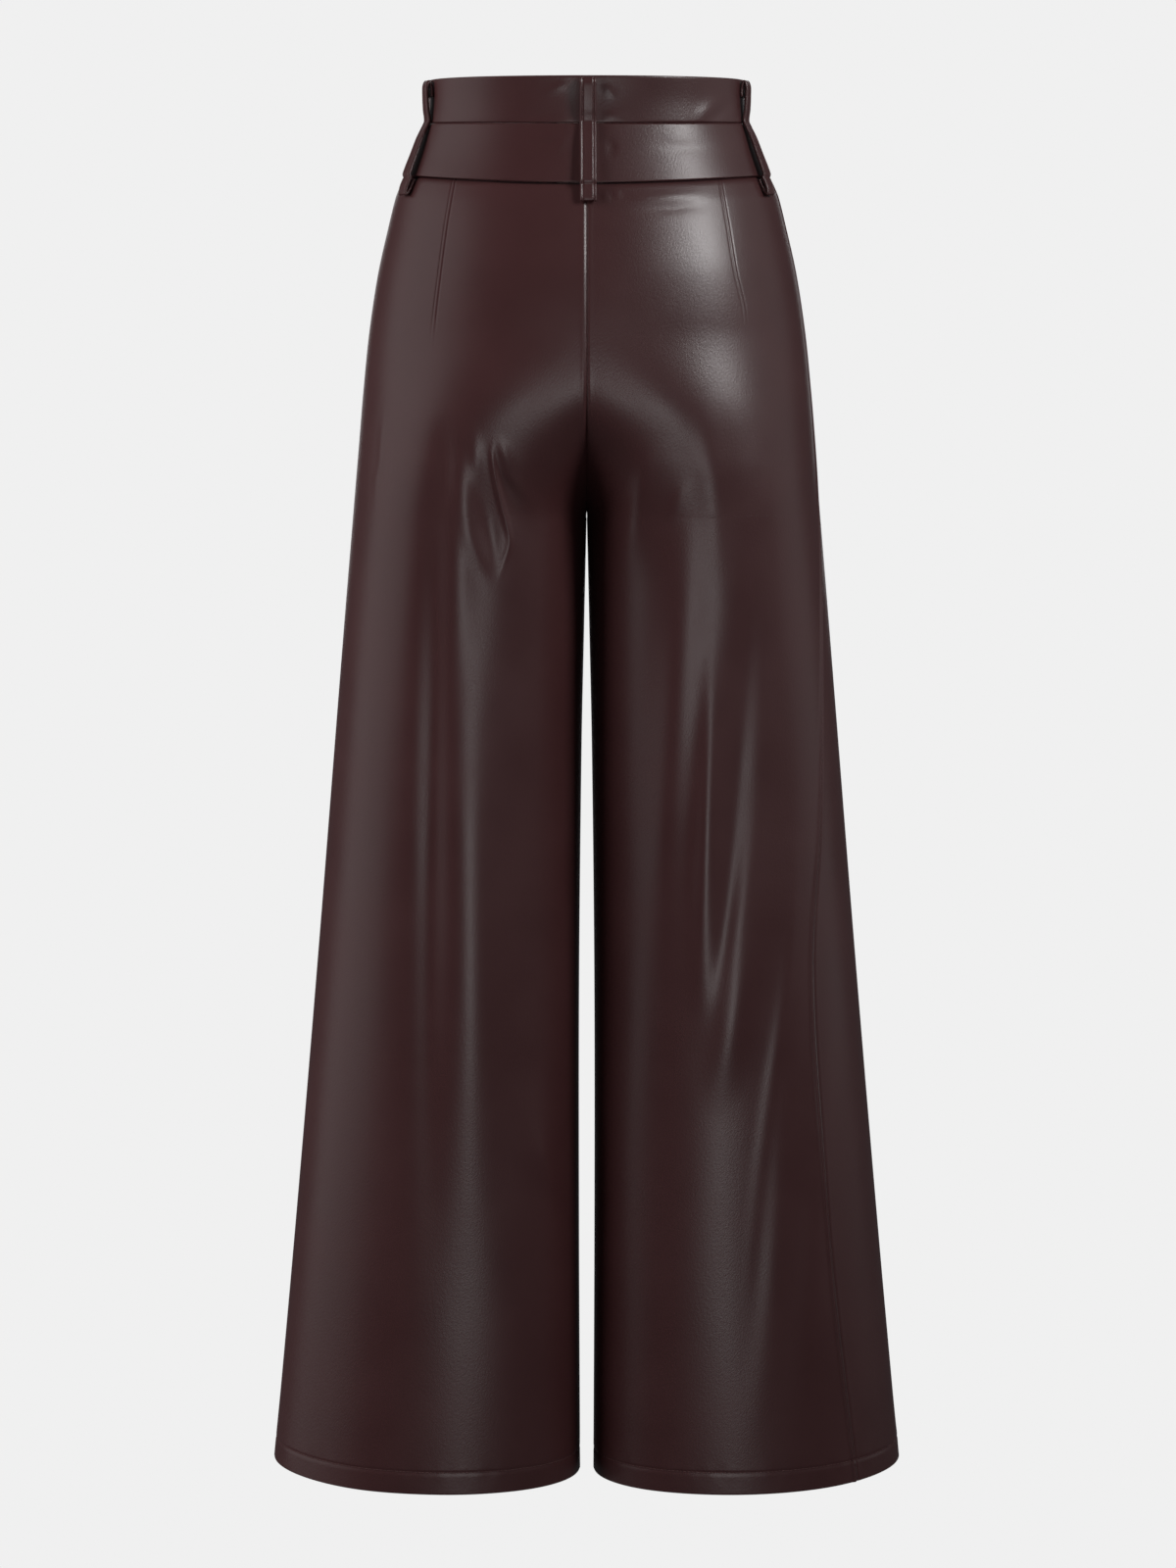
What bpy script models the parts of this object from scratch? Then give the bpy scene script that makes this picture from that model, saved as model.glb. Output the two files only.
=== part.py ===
"""High-waisted wide-leg trousers in faux leather, filled out as worn and hollow.

Metres, +Z up. The front faces -Y and the wearer's left is +X. The origin is the centre of the waist,
just below the seam between the two tiers of the waistband.

A point on the cloth is given by a level (its height at the side of the body) and an angle round the
section: 0 at the outer side, 90 at the centre back or the back of the leg, -90 at the front.
"""
import math
from collections import namedtuple

import bpy
from mathutils import Vector

# Driving dimensions
CLOTH = 0.0015            # wall of a trouser panel: faux leather on its backing
BAND_WALL = 0.0024        # wall of a waistband tier: two layers and interlining
LOOP_WALL = 0.0022        # belt loop: a strip folded double and edge stitched
SEAM_GAP = 0.0003         # clearance between two pieces that are sewn together
BAND_PROUD = 0.0016       # how far the waistband stands out over the panels under it

BAND_TOP = 0.0350         # top edge of the upper tier
WAIST_SEAM = 0.0028       # seam between the tiers at the sides
BAND_FOOT = -0.0355       # lower edge of the lower tier at the sides
SEAT_LEVEL = -0.1450      # where the two halves start to part into legs
CROTCH_LEVEL = -0.2920
HEM_LEVEL = -1.0285
OUTLINE_TURN = 0.0120     # how far the inner side of the hem lies behind the outer side

LOOP_WIDTH = 0.0120
LOOP_DROP = 0.0145        # how far a belt loop hangs below the waistband
BACK_LOOP_ANGLE = 90.5    # degrees round the waist from the left side seam
FRONT_LOOP_ANGLE = -62.0

FLY_FOOT = -0.1500
FLY_WIDTH = 0.0360
FLY_OVERHANG = 0.35       # share of the fly shield that lies past the centre front
FLY_CLEARANCE = 0.0006
FLY_HEAD_DROP = 0.0015    # its head lies this far under the top edge
FLY_TIER_ROWS = 5
FLY_PANEL_ROWS = 9

STEP_ROUND = 0.01         # small steps, in radians and metres, that give the surface's directions
STEP_DOWN = 0.001
STEEPEST_WALL = 0.6       # limits how much a wall is thickened sideways where the cloth slopes
CALM_SHARE = 2.0          # how soon the folds gain their height, going round from the sides

WAIST_SQUARENESS = 2.15
TierRow = namedtuple("TierRow", "level half_width back_depth front_depth back_dip front_dip")
UPPER_TIER = [
    TierRow(BAND_TOP, 0.1184, 0.0905, 0.0868, 0.0000, 0.0040),
    TierRow(0.0190, 0.1186, 0.0890, 0.0855, 0.0012, 0.0035),
    TierRow(WAIST_SEAM, 0.1208, 0.0886, 0.0850, 0.0023, 0.0030),
]
LOWER_TIER = [
    TierRow(WAIST_SEAM, 0.1212, 0.0891, 0.0855, 0.0023, 0.0030),
    TierRow(-0.0170, 0.1290, 0.0935, 0.0887, 0.0050, 0.0045),
    TierRow(BAND_FOOT, 0.1376, 0.0985, 0.0925, 0.0071, 0.0060),
]

# Outer size of the trousers, from under the waistband to the hem. A section's corners are round at
# a squareness of 2 and fuller above it; inner is the half of a leg's section next to the other leg.
BodyRow = namedtuple(
    "BodyRow", "level half_width back_depth front_depth back_dip front_dip squareness inner_squareness")
BODY = [
    BodyRow(BAND_FOOT - SEAM_GAP, 0.1360, 0.0969, 0.0909, 0.0071, 0.0060, 2.15, 2.8),
    BodyRow(-0.0440, 0.1401, 0.1000, 0.0932, 0.0066, 0.0056, 2.15, 2.8),
    BodyRow(-0.0520, 0.1433, 0.1030, 0.0952, 0.0059, 0.0050, 2.15, 2.8),
    BodyRow(-0.0740, 0.1489, 0.1092, 0.0990, 0.0035, 0.0030, 2.15, 2.8),
    BodyRow(-0.1090, 0.1569, 0.1164, 0.1032, 0.0012, 0.0008, 2.15, 2.8),
    BodyRow(-0.1530, 0.1638, 0.1200, 0.1055, 0.0000, 0.0000, 2.15, 2.8),
    BodyRow(-0.1970, 0.1685, 0.1190, 0.1060, 0.0000, 0.0000, 2.15, 2.6),
    BodyRow(-0.2420, 0.1725, 0.1140, 0.1050, 0.0000, 0.0000, 2.15, 2.4),
    BodyRow(-0.2920, 0.1770, 0.1072, 0.1025, 0.0000, 0.0000, 2.15, 2.3),
    BodyRow(-0.3760, 0.1845, 0.1000, 0.0980, 0.0000, 0.0000, 2.15, 2.2),
    BodyRow(-0.4660, 0.1923, 0.0966, 0.0950, 0.0000, 0.0000, 2.15, 2.15),
    BodyRow(-0.6020, 0.2041, 0.0938, 0.0930, 0.0000, 0.0000, 2.12, 2.1),
    BodyRow(-0.7400, 0.2165, 0.0910, 0.0930, 0.0000, 0.0000, 2.08, 2.1),
    BodyRow(-0.8780, 0.2294, 0.0890, 0.0940, 0.0000, 0.0000, 2.04, 2.1),
    BodyRow(HEM_LEVEL, 0.2441, 0.0875, 0.0955, 0.0000, 0.0000, 2.00, 2.05),
]

# Half of the gap between the legs
GapRow = namedtuple("GapRow", "level half_gap")
LEG_GAP = [
    GapRow(CROTCH_LEVEL, 0.0003),
    GapRow(-0.3760, 0.0022),
    GapRow(-0.4660, 0.0041),
    GapRow(-0.6470, 0.0060),
    GapRow(-0.8320, 0.0061),
    GapRow(HEM_LEVEL, 0.0053),
]

# The side belt loops slant: where they lie at each level, in degrees behind the side seam
SlantRow = namedtuple("SlantRow", "level angle")
SIDE_LOOP_SLANT = [
    SlantRow(BAND_TOP, 13.0),
    SlantRow(WAIST_SEAM, 15.0),
    SlantRow(BAND_FOOT, 20.0),
    SlantRow(BAND_FOOT - LOOP_DROP, 21.0),
]

# How far the right leg's outseam has swung to the back, in degrees round the leg
SwingRow = namedtuple("SwingRow", "level swing")
OUTSEAM_SWING = [
    SwingRow(BAND_FOOT, 0.0),
    SwingRow(-0.2200, 3.0),
    SwingRow(-0.2900, 12.0),
    SwingRow(-0.3670, 22.5),
    SwingRow(-0.4420, 31.0),
    SwingRow(-0.5180, 38.5),
    SwingRow(-0.6240, 50.0),
    SwingRow(-0.8000, 52.0),
    SwingRow(HEM_LEVEL, 46.0),
]

# Largest folds: each runs from its head to its foot in a gentle bow, and rises (or sinks) most
# at its crest, a share of the way down. Across is the distance from the centre of the body.
Fold = namedtuple("Fold", "head foot head_across foot_across bow half_width rise crest")
BACK_LEFT_FOLDS = [
    Fold(-0.215, -0.420, 0.092, 0.096, 0.001, 0.012, 0.0035, 0.45),
    Fold(-0.215, -0.640, 0.106, 0.121, 0.002, 0.017, -0.0055, 0.40),
    Fold(-0.225, -0.348, 0.078, 0.070, 0.000, 0.009, -0.0045, 0.72),
    Fold(-0.236, -0.345, 0.062, 0.036, 0.000, 0.010, -0.0030, 0.50),
    Fold(-0.330, -0.790, 0.089, 0.086, 0.000, 0.026, 0.0070, 0.55),
    Fold(-0.400, -0.800, 0.045, 0.056, 0.000, 0.020, -0.0035, 0.45),
    Fold(-0.690, -0.900, 0.050, 0.018, 0.000, 0.018, 0.0025, 0.40),
]
BACK_RIGHT_FOLDS = [
    Fold(-0.190, -0.380, 0.085, 0.097, 0.003, 0.010, 0.0022, 0.35),
    Fold(-0.225, -0.345, 0.047, 0.028, 0.000, 0.013, 0.0025, 0.50),
    Fold(-0.245, -0.660, 0.080, 0.052, -0.001, 0.014, 0.0030, 0.45),
    Fold(-0.325, -0.710, 0.097, 0.088, -0.002, 0.011, 0.0040, 0.55),
    Fold(-0.240, -0.560, 0.131, 0.106, 0.000, 0.011, -0.0025, 0.60),
    Fold(-0.480, -0.740, 0.137, 0.098, 0.000, 0.013, 0.0040, 0.70),
    Fold(-0.500, -1.000, 0.158, 0.128, 0.000, 0.014, 0.0035, 0.55),
    Fold(-0.560, -0.985, 0.148, 0.120, 0.003, 0.012, -0.0025, 0.60),
    Fold(-0.620, -1.010, 0.180, 0.160, 0.004, 0.015, 0.0030, 0.50),
]
FRONT_LEFT_FOLDS = [
    Fold(-0.235, -0.420, 0.030, 0.075, 0.006, 0.014, 0.0035, 0.30),
    Fold(-0.270, -0.800, 0.112, 0.104, 0.000, 0.020, 0.0070, 0.45),
    Fold(-0.300, -0.760, 0.072, 0.070, 0.002, 0.018, -0.0045, 0.45),
    Fold(-0.560, -0.990, 0.150, 0.172, 0.000, 0.018, 0.0050, 0.50),
    Fold(-0.640, -0.980, 0.060, 0.046, 0.000, 0.018, 0.0040, 0.50),
]
FRONT_RIGHT_FOLDS = [
    Fold(-0.230, -0.400, 0.034, 0.080, 0.005, 0.014, 0.0035, 0.35),
    Fold(-0.250, -0.720, 0.100, 0.118, 0.000, 0.020, 0.0065, 0.50),
    Fold(-0.330, -0.820, 0.070, 0.084, 0.000, 0.018, -0.0045, 0.45),
    Fold(-0.500, -0.960, 0.048, 0.060, 0.000, 0.018, 0.0050, 0.45),
    Fold(-0.620, -1.000, 0.150, 0.160, 0.003, 0.018, 0.0045, 0.50),
]

LEFT, RIGHT = 1, -1
FOLDS = {
    (LEFT, True): BACK_LEFT_FOLDS,
    (RIGHT, True): BACK_RIGHT_FOLDS,
    (LEFT, False): FRONT_LEFT_FOLDS,
    (RIGHT, False): FRONT_RIGHT_FOLDS,
}

BACK_COLUMNS = 22
FRONT_COLUMNS = 12
TIER_COLUMNS = 12         # for a quarter of the waist
TIER_ROWS = 3
LOOP_STEPS = 30
FLY_COLUMNS = 4

LEATHER = (0.085, 0.036, 0.036)
LEATHER_ROUGHNESS = 0.38
BACKING = (0.120, 0.085, 0.080)
BACKING_ROUGHNESS = 0.85


def clear_scene():
    for item in list(bpy.data.objects):
        bpy.data.objects.remove(item, do_unlink=True)


def make_leather(name, colour, roughness):
    material = bpy.data.materials.new(name)
    material.use_nodes = True
    shader = material.node_tree.nodes["Principled BSDF"]
    shader.inputs["Base Color"].default_value = (*colour, 1.0)
    shader.inputs["Roughness"].default_value = roughness
    shader.inputs["Metallic"].default_value = 0.0
    return material


def smooth_step(share):
    share = min(1.0, max(0.0, share))
    return share * share * (3.0 - 2.0 * share)


def read_row(rows, level):
    """A row of the table at any level, on smooth curves through its columns."""
    levels = [row.level for row in rows]
    if level >= levels[0]:
        return rows[0]
    if level <= levels[-1]:
        return rows[-1]
    low = next(i for i in range(len(rows) - 1) if levels[i + 1] <= level)
    before, after = max(low - 1, 0), min(low + 2, len(rows) - 1)
    span = levels[low + 1] - levels[low]
    share = (level - levels[low]) / span
    values = []
    for column in range(len(rows[0])):
        start, end = rows[low][column], rows[low + 1][column]
        slope_in = (end - rows[before][column]) / (levels[low + 1] - levels[before])
        slope_out = (rows[after][column] - start) / (levels[after] - levels[low])
        cube, square = share ** 3, share ** 2
        values.append(
            (2 * cube - 3 * square + 1) * start
            + (cube - 2 * square + share) * span * slope_in
            + (3 * square - 2 * cube) * end
            + (cube - square) * span * slope_out)
    return type(rows[0])(*values)


def section_point(row, level, angle, centre, reach, squareness):
    """A point of a section's outer line and the level direction outwards there."""
    across, behind = math.cos(angle), math.sin(angle) >= 0
    depth = row.back_depth if behind else row.front_depth
    dip = row.back_dip if behind else row.front_dip
    back = (1.0 - abs(across) ** squareness) ** (1.0 / squareness)
    back = math.copysign(back, math.sin(angle))
    point = Vector((centre + reach * across, depth * back, level - dip * math.sin(angle) ** 2))
    steep = squareness - 1.0
    out = Vector((
        math.copysign(abs(across) ** steep, across) / reach,
        math.copysign(abs(back) ** steep, back) / depth,
        0.0))
    return point, out.normalized()


def tier_point(rows, level, angle, inward=0.0):
    row = read_row(rows, level)
    point, out = section_point(row, level, angle, 0.0, row.half_width, WAIST_SQUARENESS)
    return point - out * inward


def leg_section(level):
    """Centre, reach and row of a half's section. The half parts from the other one going down."""
    row = read_row(BODY, level)
    half_gap = read_row(LEG_GAP, level).half_gap
    parted = smooth_step((SEAT_LEVEL - level) / (SEAT_LEVEL - CROTCH_LEVEL))
    centre = row.half_width * parted / (1.0 + parted) + half_gap * parted / 2.0
    reach = row.half_width - centre
    return row, centre, reach


def end_angle(level):
    """Angle at which a half's section meets the centre seam, or the inseam below the crotch."""
    row, centre, reach = leg_section(level)
    cosine = (SEAM_GAP / 2.0 - centre) / reach
    return math.acos(max(-1.0, min(1.0, cosine)))


def angle_beside(depth, squareness, angle, shift):
    """The angle where a section is further back than at this one, by a small distance."""
    back = depth * (1.0 - math.cos(angle) ** squareness) ** (1.0 / squareness) + shift
    share = min(1.0, abs(back) / depth)
    return math.copysign(math.acos((1.0 - share ** squareness) ** (1.0 / squareness)), back)


def fold_rise(folds, level, across):
    total = 0.0
    for fold in folds:
        if not fold.foot < level < fold.head:
            continue
        down = (fold.head - level) / (fold.head - fold.foot)
        route = fold.head_across + (fold.foot_across - fold.head_across) * down
        route += fold.bow * 4.0 * down * (1.0 - down)
        if down < fold.crest:
            swell = smooth_step(down / fold.crest)
        else:
            swell = smooth_step((1.0 - down) / (1.0 - fold.crest))
        offset = (across - route) / fold.half_width
        total += fold.rise * swell * math.exp(-offset * offset)
    return total


def body_point(side, level, angle, inward=0.0):
    """A point of the trousers on one half, with its folds, given as on the left half."""
    row, centre, reach = leg_section(level)
    squareness = row.squareness if math.cos(angle) >= 0.0 else row.inner_squareness
    point, out = section_point(row, level, angle, centre, reach, squareness)
    turn = OUTLINE_TURN * smooth_step((SEAT_LEVEL - level) / (SEAT_LEVEL - HEM_LEVEL))
    point.y -= turn * math.cos(angle)
    calm = smooth_step(abs(math.sin(angle)) * CALM_SHARE)
    folds = FOLDS[side, math.sin(angle) >= 0.0]
    return point + out * (fold_rise(folds, level, point.x) * calm - inward)


def body_wall(side, level, angle):
    """The outer and inner points of a panel, a cloth's thickness apart square to the surface."""
    outer = body_point(side, level, angle)
    inner = body_point(side, level, angle, CLOTH)
    along = body_point(side, level, angle + STEP_ROUND) - body_point(side, level, angle - STEP_ROUND)
    down = body_point(side, level - STEP_DOWN, angle) - body_point(side, level + STEP_DOWN, angle)
    facing = abs(along.cross(down).normalized().dot((outer - inner).normalized()))
    return outer, outer + (inner - outer) / max(facing, STEEPEST_WALL)


def spread(start, end, count):
    return [start + (end - start) * i / count for i in range(count)]


def panel_levels():
    """Levels of a panel's rows, closer together round the crotch."""
    top = BAND_FOOT - SEAM_GAP
    levels = spread(top, -0.080, 4) + spread(-0.080, -0.190, 5)
    levels += spread(-0.190, -0.260, 5) + spread(-0.260, CROTCH_LEVEL, 4)
    levels += spread(CROTCH_LEVEL, -0.410, 5) + spread(-0.410, HEM_LEVEL, 16)
    return levels + [HEM_LEVEL]


def add_mesh(name, points, faces, collection, colour, roughness):
    mesh = bpy.data.meshes.new(name)
    mesh.from_pydata(points, [], faces)
    mesh.materials.append(make_leather(name + "_finish", colour, roughness))
    mesh.shade_smooth()
    thing = bpy.data.objects.new(name, mesh)
    collection.objects.link(thing)
    return thing


def grid_faces(rows, columns, first=0):
    """Faces of a grid of points that runs down, and then anticlockwise seen from above."""
    faces = []
    for j in range(rows - 1):
        for i in range(columns - 1):
            corner = first + j * columns + i
            faces.append((corner, corner + columns, corner + columns + 1, corner + 1))
    return faces


def add_wall(name, pairs, collection, colour, roughness):
    """A closed wall lofted through rows of outer and inner points, with a rim round its edge."""
    rows, columns = len(pairs), len(pairs[0])
    count = rows * columns
    points = [outer for row in pairs for outer, _ in row]
    points += [inner for row in pairs for _, inner in row]
    faces = grid_faces(rows, columns)
    faces += [tuple(reversed(face)) for face in grid_faces(rows, columns, count)]
    edge = [j * columns for j in range(rows)]
    edge += [(rows - 1) * columns + i for i in range(1, columns)]
    edge += [j * columns + columns - 1 for j in range(rows - 2, -1, -1)]
    edge += [i for i in range(columns - 2, 0, -1)]
    for start, end in zip(edge, edge[1:] + edge[:1]):
        faces.append((end, start, start + count, end + count))
    return add_mesh(name, points, faces, collection, colour, roughness)


def add_panel(name, collection, side, behind, columns):
    """One leg's front or back, from the waistband to the hem and the outseam to the inseam."""
    pairs = []
    for level in panel_levels():
        row = read_row(BODY, level)
        way = 1 if behind else -1
        swing = 0.0
        if side == RIGHT:
            swing = math.radians(read_row(OUTSEAM_SWING, level).swing)
        depth = row.back_depth if behind or swing else row.front_depth
        outseam = angle_beside(depth, row.squareness, swing, way * SEAM_GAP / 2.0)
        clear = angle_beside(depth, row.inner_squareness, 0.0, SEAM_GAP / 2.0)
        inseam = way * min(end_angle(level), math.pi - clear)
        line = []
        for i in range(columns + 1):
            angle = outseam + (inseam - outseam) * i / columns
            line.append([Vector((side * point.x, point.y, point.z))
                         for point in body_wall(side, level, angle)])
        if (side == LEFT) != behind:
            line.reverse()
        pairs.append(line)
    return add_wall(name, pairs, collection, LEATHER, LEATHER_ROUGHNESS)


def add_tier(name, collection, rows, top, foot, first_angle, last_angle, quarters):
    """A piece of one waistband tier between two seams, given in degrees round the waist."""
    pairs = []
    columns = TIER_COLUMNS * quarters
    for step in range(TIER_ROWS + 1):
        level = top + (foot - top) * step / TIER_ROWS
        row = read_row(rows, level)
        side_clear = angle_beside(row.back_depth, WAIST_SQUARENESS, 0.0, SEAM_GAP / 2.0)
        front_clear = SEAM_GAP / 2.0 / row.half_width
        first = math.radians(first_angle) + (front_clear if first_angle == -90.0 else side_clear)
        last = math.radians(last_angle) - (front_clear if last_angle == 270.0 else side_clear)
        line = []
        for i in range(columns + 1):
            angle = first + (last - first) * i / columns
            line.append([tier_point(rows, level, angle, inward) for inward in (0.0, BAND_WALL)])
        pairs.append(line)
    return add_wall(name, pairs, collection, LEATHER, LEATHER_ROUGHNESS)


def make_tiers(collection):
    seam = SEAM_GAP / 2.0
    for name, rows, top, foot in (
            ("upper_band", UPPER_TIER, BAND_TOP, WAIST_SEAM + seam),
            ("lower_band", LOWER_TIER, WAIST_SEAM - seam, BAND_FOOT)):
        add_tier(name + "_back", collection, rows, top, foot, 0.0, 180.0, 2)
        add_tier(name + "_front_left", collection, rows, top, foot, -90.0, 0.0, 1)
        add_tier(name + "_front_right", collection, rows, top, foot, 180.0, 270.0, 1)


def make_panels(collection):
    for side, word in ((LEFT, "left"), (RIGHT, "right")):
        add_panel("back_panel_" + word, collection, side, True, BACK_COLUMNS)
        add_panel("front_panel_" + word, collection, side, False, FRONT_COLUMNS)


def cloth_surface(side, level, angle):
    """The outermost cloth at a level: a waistband tier, or the panels below it."""
    if level > WAIST_SEAM:
        return tier_point(UPPER_TIER, level, angle)
    if level > BAND_FOOT:
        return tier_point(LOWER_TIER, level, angle)
    return body_point(side, level, angle)


def bend_through(knots, steps):
    """Points along a smooth curve through the knots of a route."""
    curve = []
    spans = len(knots) - 1
    for step in range(steps + 1):
        place = spans * step / steps
        i = min(int(place), spans - 1)
        share = place - i
        before, start = knots[max(i - 1, 0)], knots[i]
        end, after = knots[i + 1], knots[min(i + 2, spans)]
        curve.append(tuple(
            0.5 * (2 * s + (e - b) * share + (2 * b - 5 * s + 4 * e - a) * share ** 2
                   + (3 * s - b - 3 * e + a) * share ** 3)
            for b, s, e, a in zip(before, start, end, after)))
    return curve


def loop_route():
    """A belt loop's route: how far its middle stands off the cloth, and at which level.

    It is turned under and sewn at the top edge, tacked at the seam between the tiers, and
    hangs below the waistband before it turns up again and is caught under the lower tier.
    """
    near = LOOP_WALL / 2.0 + SEAM_GAP
    foot = BAND_FOOT - LOOP_DROP + LOOP_WALL / 2.0
    return [
        (near, BAND_TOP - 0.0130),
        (near, BAND_TOP - 0.0060),
        (near + 0.0016, BAND_TOP - 0.0018),
        (near + 0.0034, BAND_TOP - 0.0052),
        (near + 0.0036, BAND_TOP - 0.0130),
        (near + 0.0026, 0.0130),
        (near + 0.0006, WAIST_SEAM + 0.0010),
        (near + 0.0026, -0.0090),
        (near + 0.0036, -0.0230),
        (near + 0.0039, -0.0340),
        (near + 0.0037, foot + 0.0045),
        (near + 0.0020, foot),
        (near + 0.0003, foot + 0.0045),
        (near + 0.0001, BAND_FOOT - 0.0030),
    ]


def add_belt_loop(name, collection, side, angle_at):
    """A belt loop on the cloth, where angle_at gives its degrees round the waist at each level."""
    middles, sideways = [], []
    for stand_off, level in bend_through(loop_route(), LOOP_STEPS):
        angle = math.radians(angle_at(level))
        base = cloth_surface(side, level, angle)
        along = cloth_surface(side, level, angle + STEP_ROUND) - base
        along.z = 0.0
        along.normalize()
        middles.append(base + Vector((along.y, -along.x, 0.0)) * stand_off)
        sideways.append(along)
    points = []
    for i, (middle, along) in enumerate(zip(middles, sideways)):
        onward = middles[min(i + 1, LOOP_STEPS)] - middles[max(i - 1, 0)]
        onward.normalize()
        square = (along - onward * along.dot(onward)).normalized()
        for edge in (-0.5, 0.5):
            point = middle + square * (edge * LOOP_WIDTH)
            points.append(Vector((side * point.x, point.y, point.z)))
    faces = grid_faces(LOOP_STEPS + 1, 2)
    thing = add_mesh(name, points, faces, collection, LEATHER, LEATHER_ROUGHNESS)
    wall = thing.modifiers.new("wall", "SOLIDIFY")
    wall.thickness = LOOP_WALL
    wall.offset = 0.0
    return thing


def side_slant(level):
    return read_row(SIDE_LOOP_SLANT, level).angle


def make_belt_loops(collection):
    add_belt_loop("loop_centre_back", collection, LEFT, lambda level: BACK_LOOP_ANGLE)
    for side, word in ((LEFT, "left"), (RIGHT, "right")):
        add_belt_loop("loop_side_" + word, collection, side, side_slant)
        add_belt_loop("loop_front_" + word, collection, side, lambda level: FRONT_LOOP_ANGLE)


def make_fly_shield(collection):
    """The strip of cloth behind the centre front opening, from the top edge to the fly's foot."""
    behind_panel = CLOTH + FLY_CLEARANCE
    levels = spread(BAND_TOP - FLY_HEAD_DROP, BAND_FOOT, FLY_TIER_ROWS)
    levels += spread(BAND_FOOT - SEAM_GAP, FLY_FOOT, FLY_PANEL_ROWS) + [FLY_FOOT]
    pairs = []
    for level in levels:
        line = []
        for i in range(FLY_COLUMNS + 1):
            across = FLY_WIDTH * (i / FLY_COLUMNS - FLY_OVERHANG)
            if level >= BAND_FOOT:
                rows = UPPER_TIER if level > WAIST_SEAM else LOWER_TIER
                angle = math.asin(across / read_row(rows, level).half_width) - math.pi / 2.0
                face = tier_point(rows, level, angle) + Vector((0.0, BAND_PROUD, 0.0))
            else:
                side = RIGHT if across < 0.0 else LEFT
                _, centre, reach = leg_section(level)
                face = body_point(side, level, -math.acos((abs(across) - centre) / reach))
            pair = [Vector((across, face.y + inward, face.z))
                    for inward in (behind_panel, behind_panel + CLOTH)]
            line.append(pair)
        pairs.append(line)
    return add_wall("fly_shield", pairs, collection, BACKING, BACKING_ROUGHNESS)


def main():
    clear_scene()
    collection = bpy.data.collections.new("faux_leather_trousers")
    bpy.context.scene.collection.children.link(collection)
    make_panels(collection)
    make_tiers(collection)
    make_belt_loops(collection)
    make_fly_shield(collection)


main()
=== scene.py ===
"""The look of a pair of high-waisted wide-leg trousers in faux leather, filled out as worn.

Metres, +Z up. The front faces -Y and the wearer's left is +X. A point on the cloth is given by its
level and an angle round the section: 0 at the outer side, 90 at the back and -90 at the front.
"""
import math
from collections import namedtuple

import bmesh
import bpy
import numpy as np
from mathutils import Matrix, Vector


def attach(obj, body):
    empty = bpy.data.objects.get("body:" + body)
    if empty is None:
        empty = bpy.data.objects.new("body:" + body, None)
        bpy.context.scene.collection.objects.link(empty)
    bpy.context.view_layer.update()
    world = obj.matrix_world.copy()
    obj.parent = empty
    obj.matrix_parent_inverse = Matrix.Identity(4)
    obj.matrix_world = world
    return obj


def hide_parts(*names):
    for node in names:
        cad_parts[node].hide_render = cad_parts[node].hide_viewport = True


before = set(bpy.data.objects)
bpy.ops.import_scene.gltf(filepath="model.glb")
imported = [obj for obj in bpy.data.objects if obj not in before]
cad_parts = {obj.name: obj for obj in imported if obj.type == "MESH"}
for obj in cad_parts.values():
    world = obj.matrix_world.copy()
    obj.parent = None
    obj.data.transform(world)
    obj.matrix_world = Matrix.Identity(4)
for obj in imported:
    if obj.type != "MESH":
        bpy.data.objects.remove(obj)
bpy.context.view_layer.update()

scene = bpy.context.scene

# ---------------------------------------------------------------------------------------------
# The studio. The trousers are seen straight from the back by a long lens a little below the waist,
# before a pale wall and floor. A wide panel and a softbox that leaves no reflection light the left,
# a narrow softbox lights the right from above, and a low one stands under the camera.
# ---------------------------------------------------------------------------------------------
camera_data = bpy.data.cameras.new("back_view")
camera_data.lens = 96.84
camera_data.sensor_width = 36.0
camera = bpy.data.objects.new("back_view", camera_data)
camera.location = (-0.001, 3.2, -0.1095)
camera.rotation_euler = (math.radians(90.0 - 6.88), 0.0, math.radians(180.0))
scene.collection.objects.link(camera)
scene.camera = camera
scene.view_settings.view_transform = "Standard"

PALE = (0.871, 0.871, 0.871, 1.0)
FLOOR_LEVEL = -1.60
FLOOR_RADIUS = 14.0

wall_light = bpy.data.worlds.new("studio_wall")
wall_light.use_nodes = True
wall_nodes, wall_links = wall_light.node_tree.nodes, wall_light.node_tree.links
wall_nodes.clear()
seen_wall = wall_nodes.new("ShaderNodeBackground")
seen_wall.inputs["Color"].default_value = PALE
dim_room = wall_nodes.new("ShaderNodeBackground")
dim_room.inputs["Color"].default_value = (0.054, 0.054, 0.056, 1.0)
sight = wall_nodes.new("ShaderNodeLightPath")
chosen = wall_nodes.new("ShaderNodeMixShader")
world_out = wall_nodes.new("ShaderNodeOutputWorld")
wall_links.new(sight.outputs["Is Camera Ray"], chosen.inputs[0])
wall_links.new(dim_room.outputs[0], chosen.inputs[1])
wall_links.new(seen_wall.outputs[0], chosen.inputs[2])
wall_links.new(chosen.outputs[0], world_out.inputs["Surface"])
scene.world = wall_light

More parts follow.
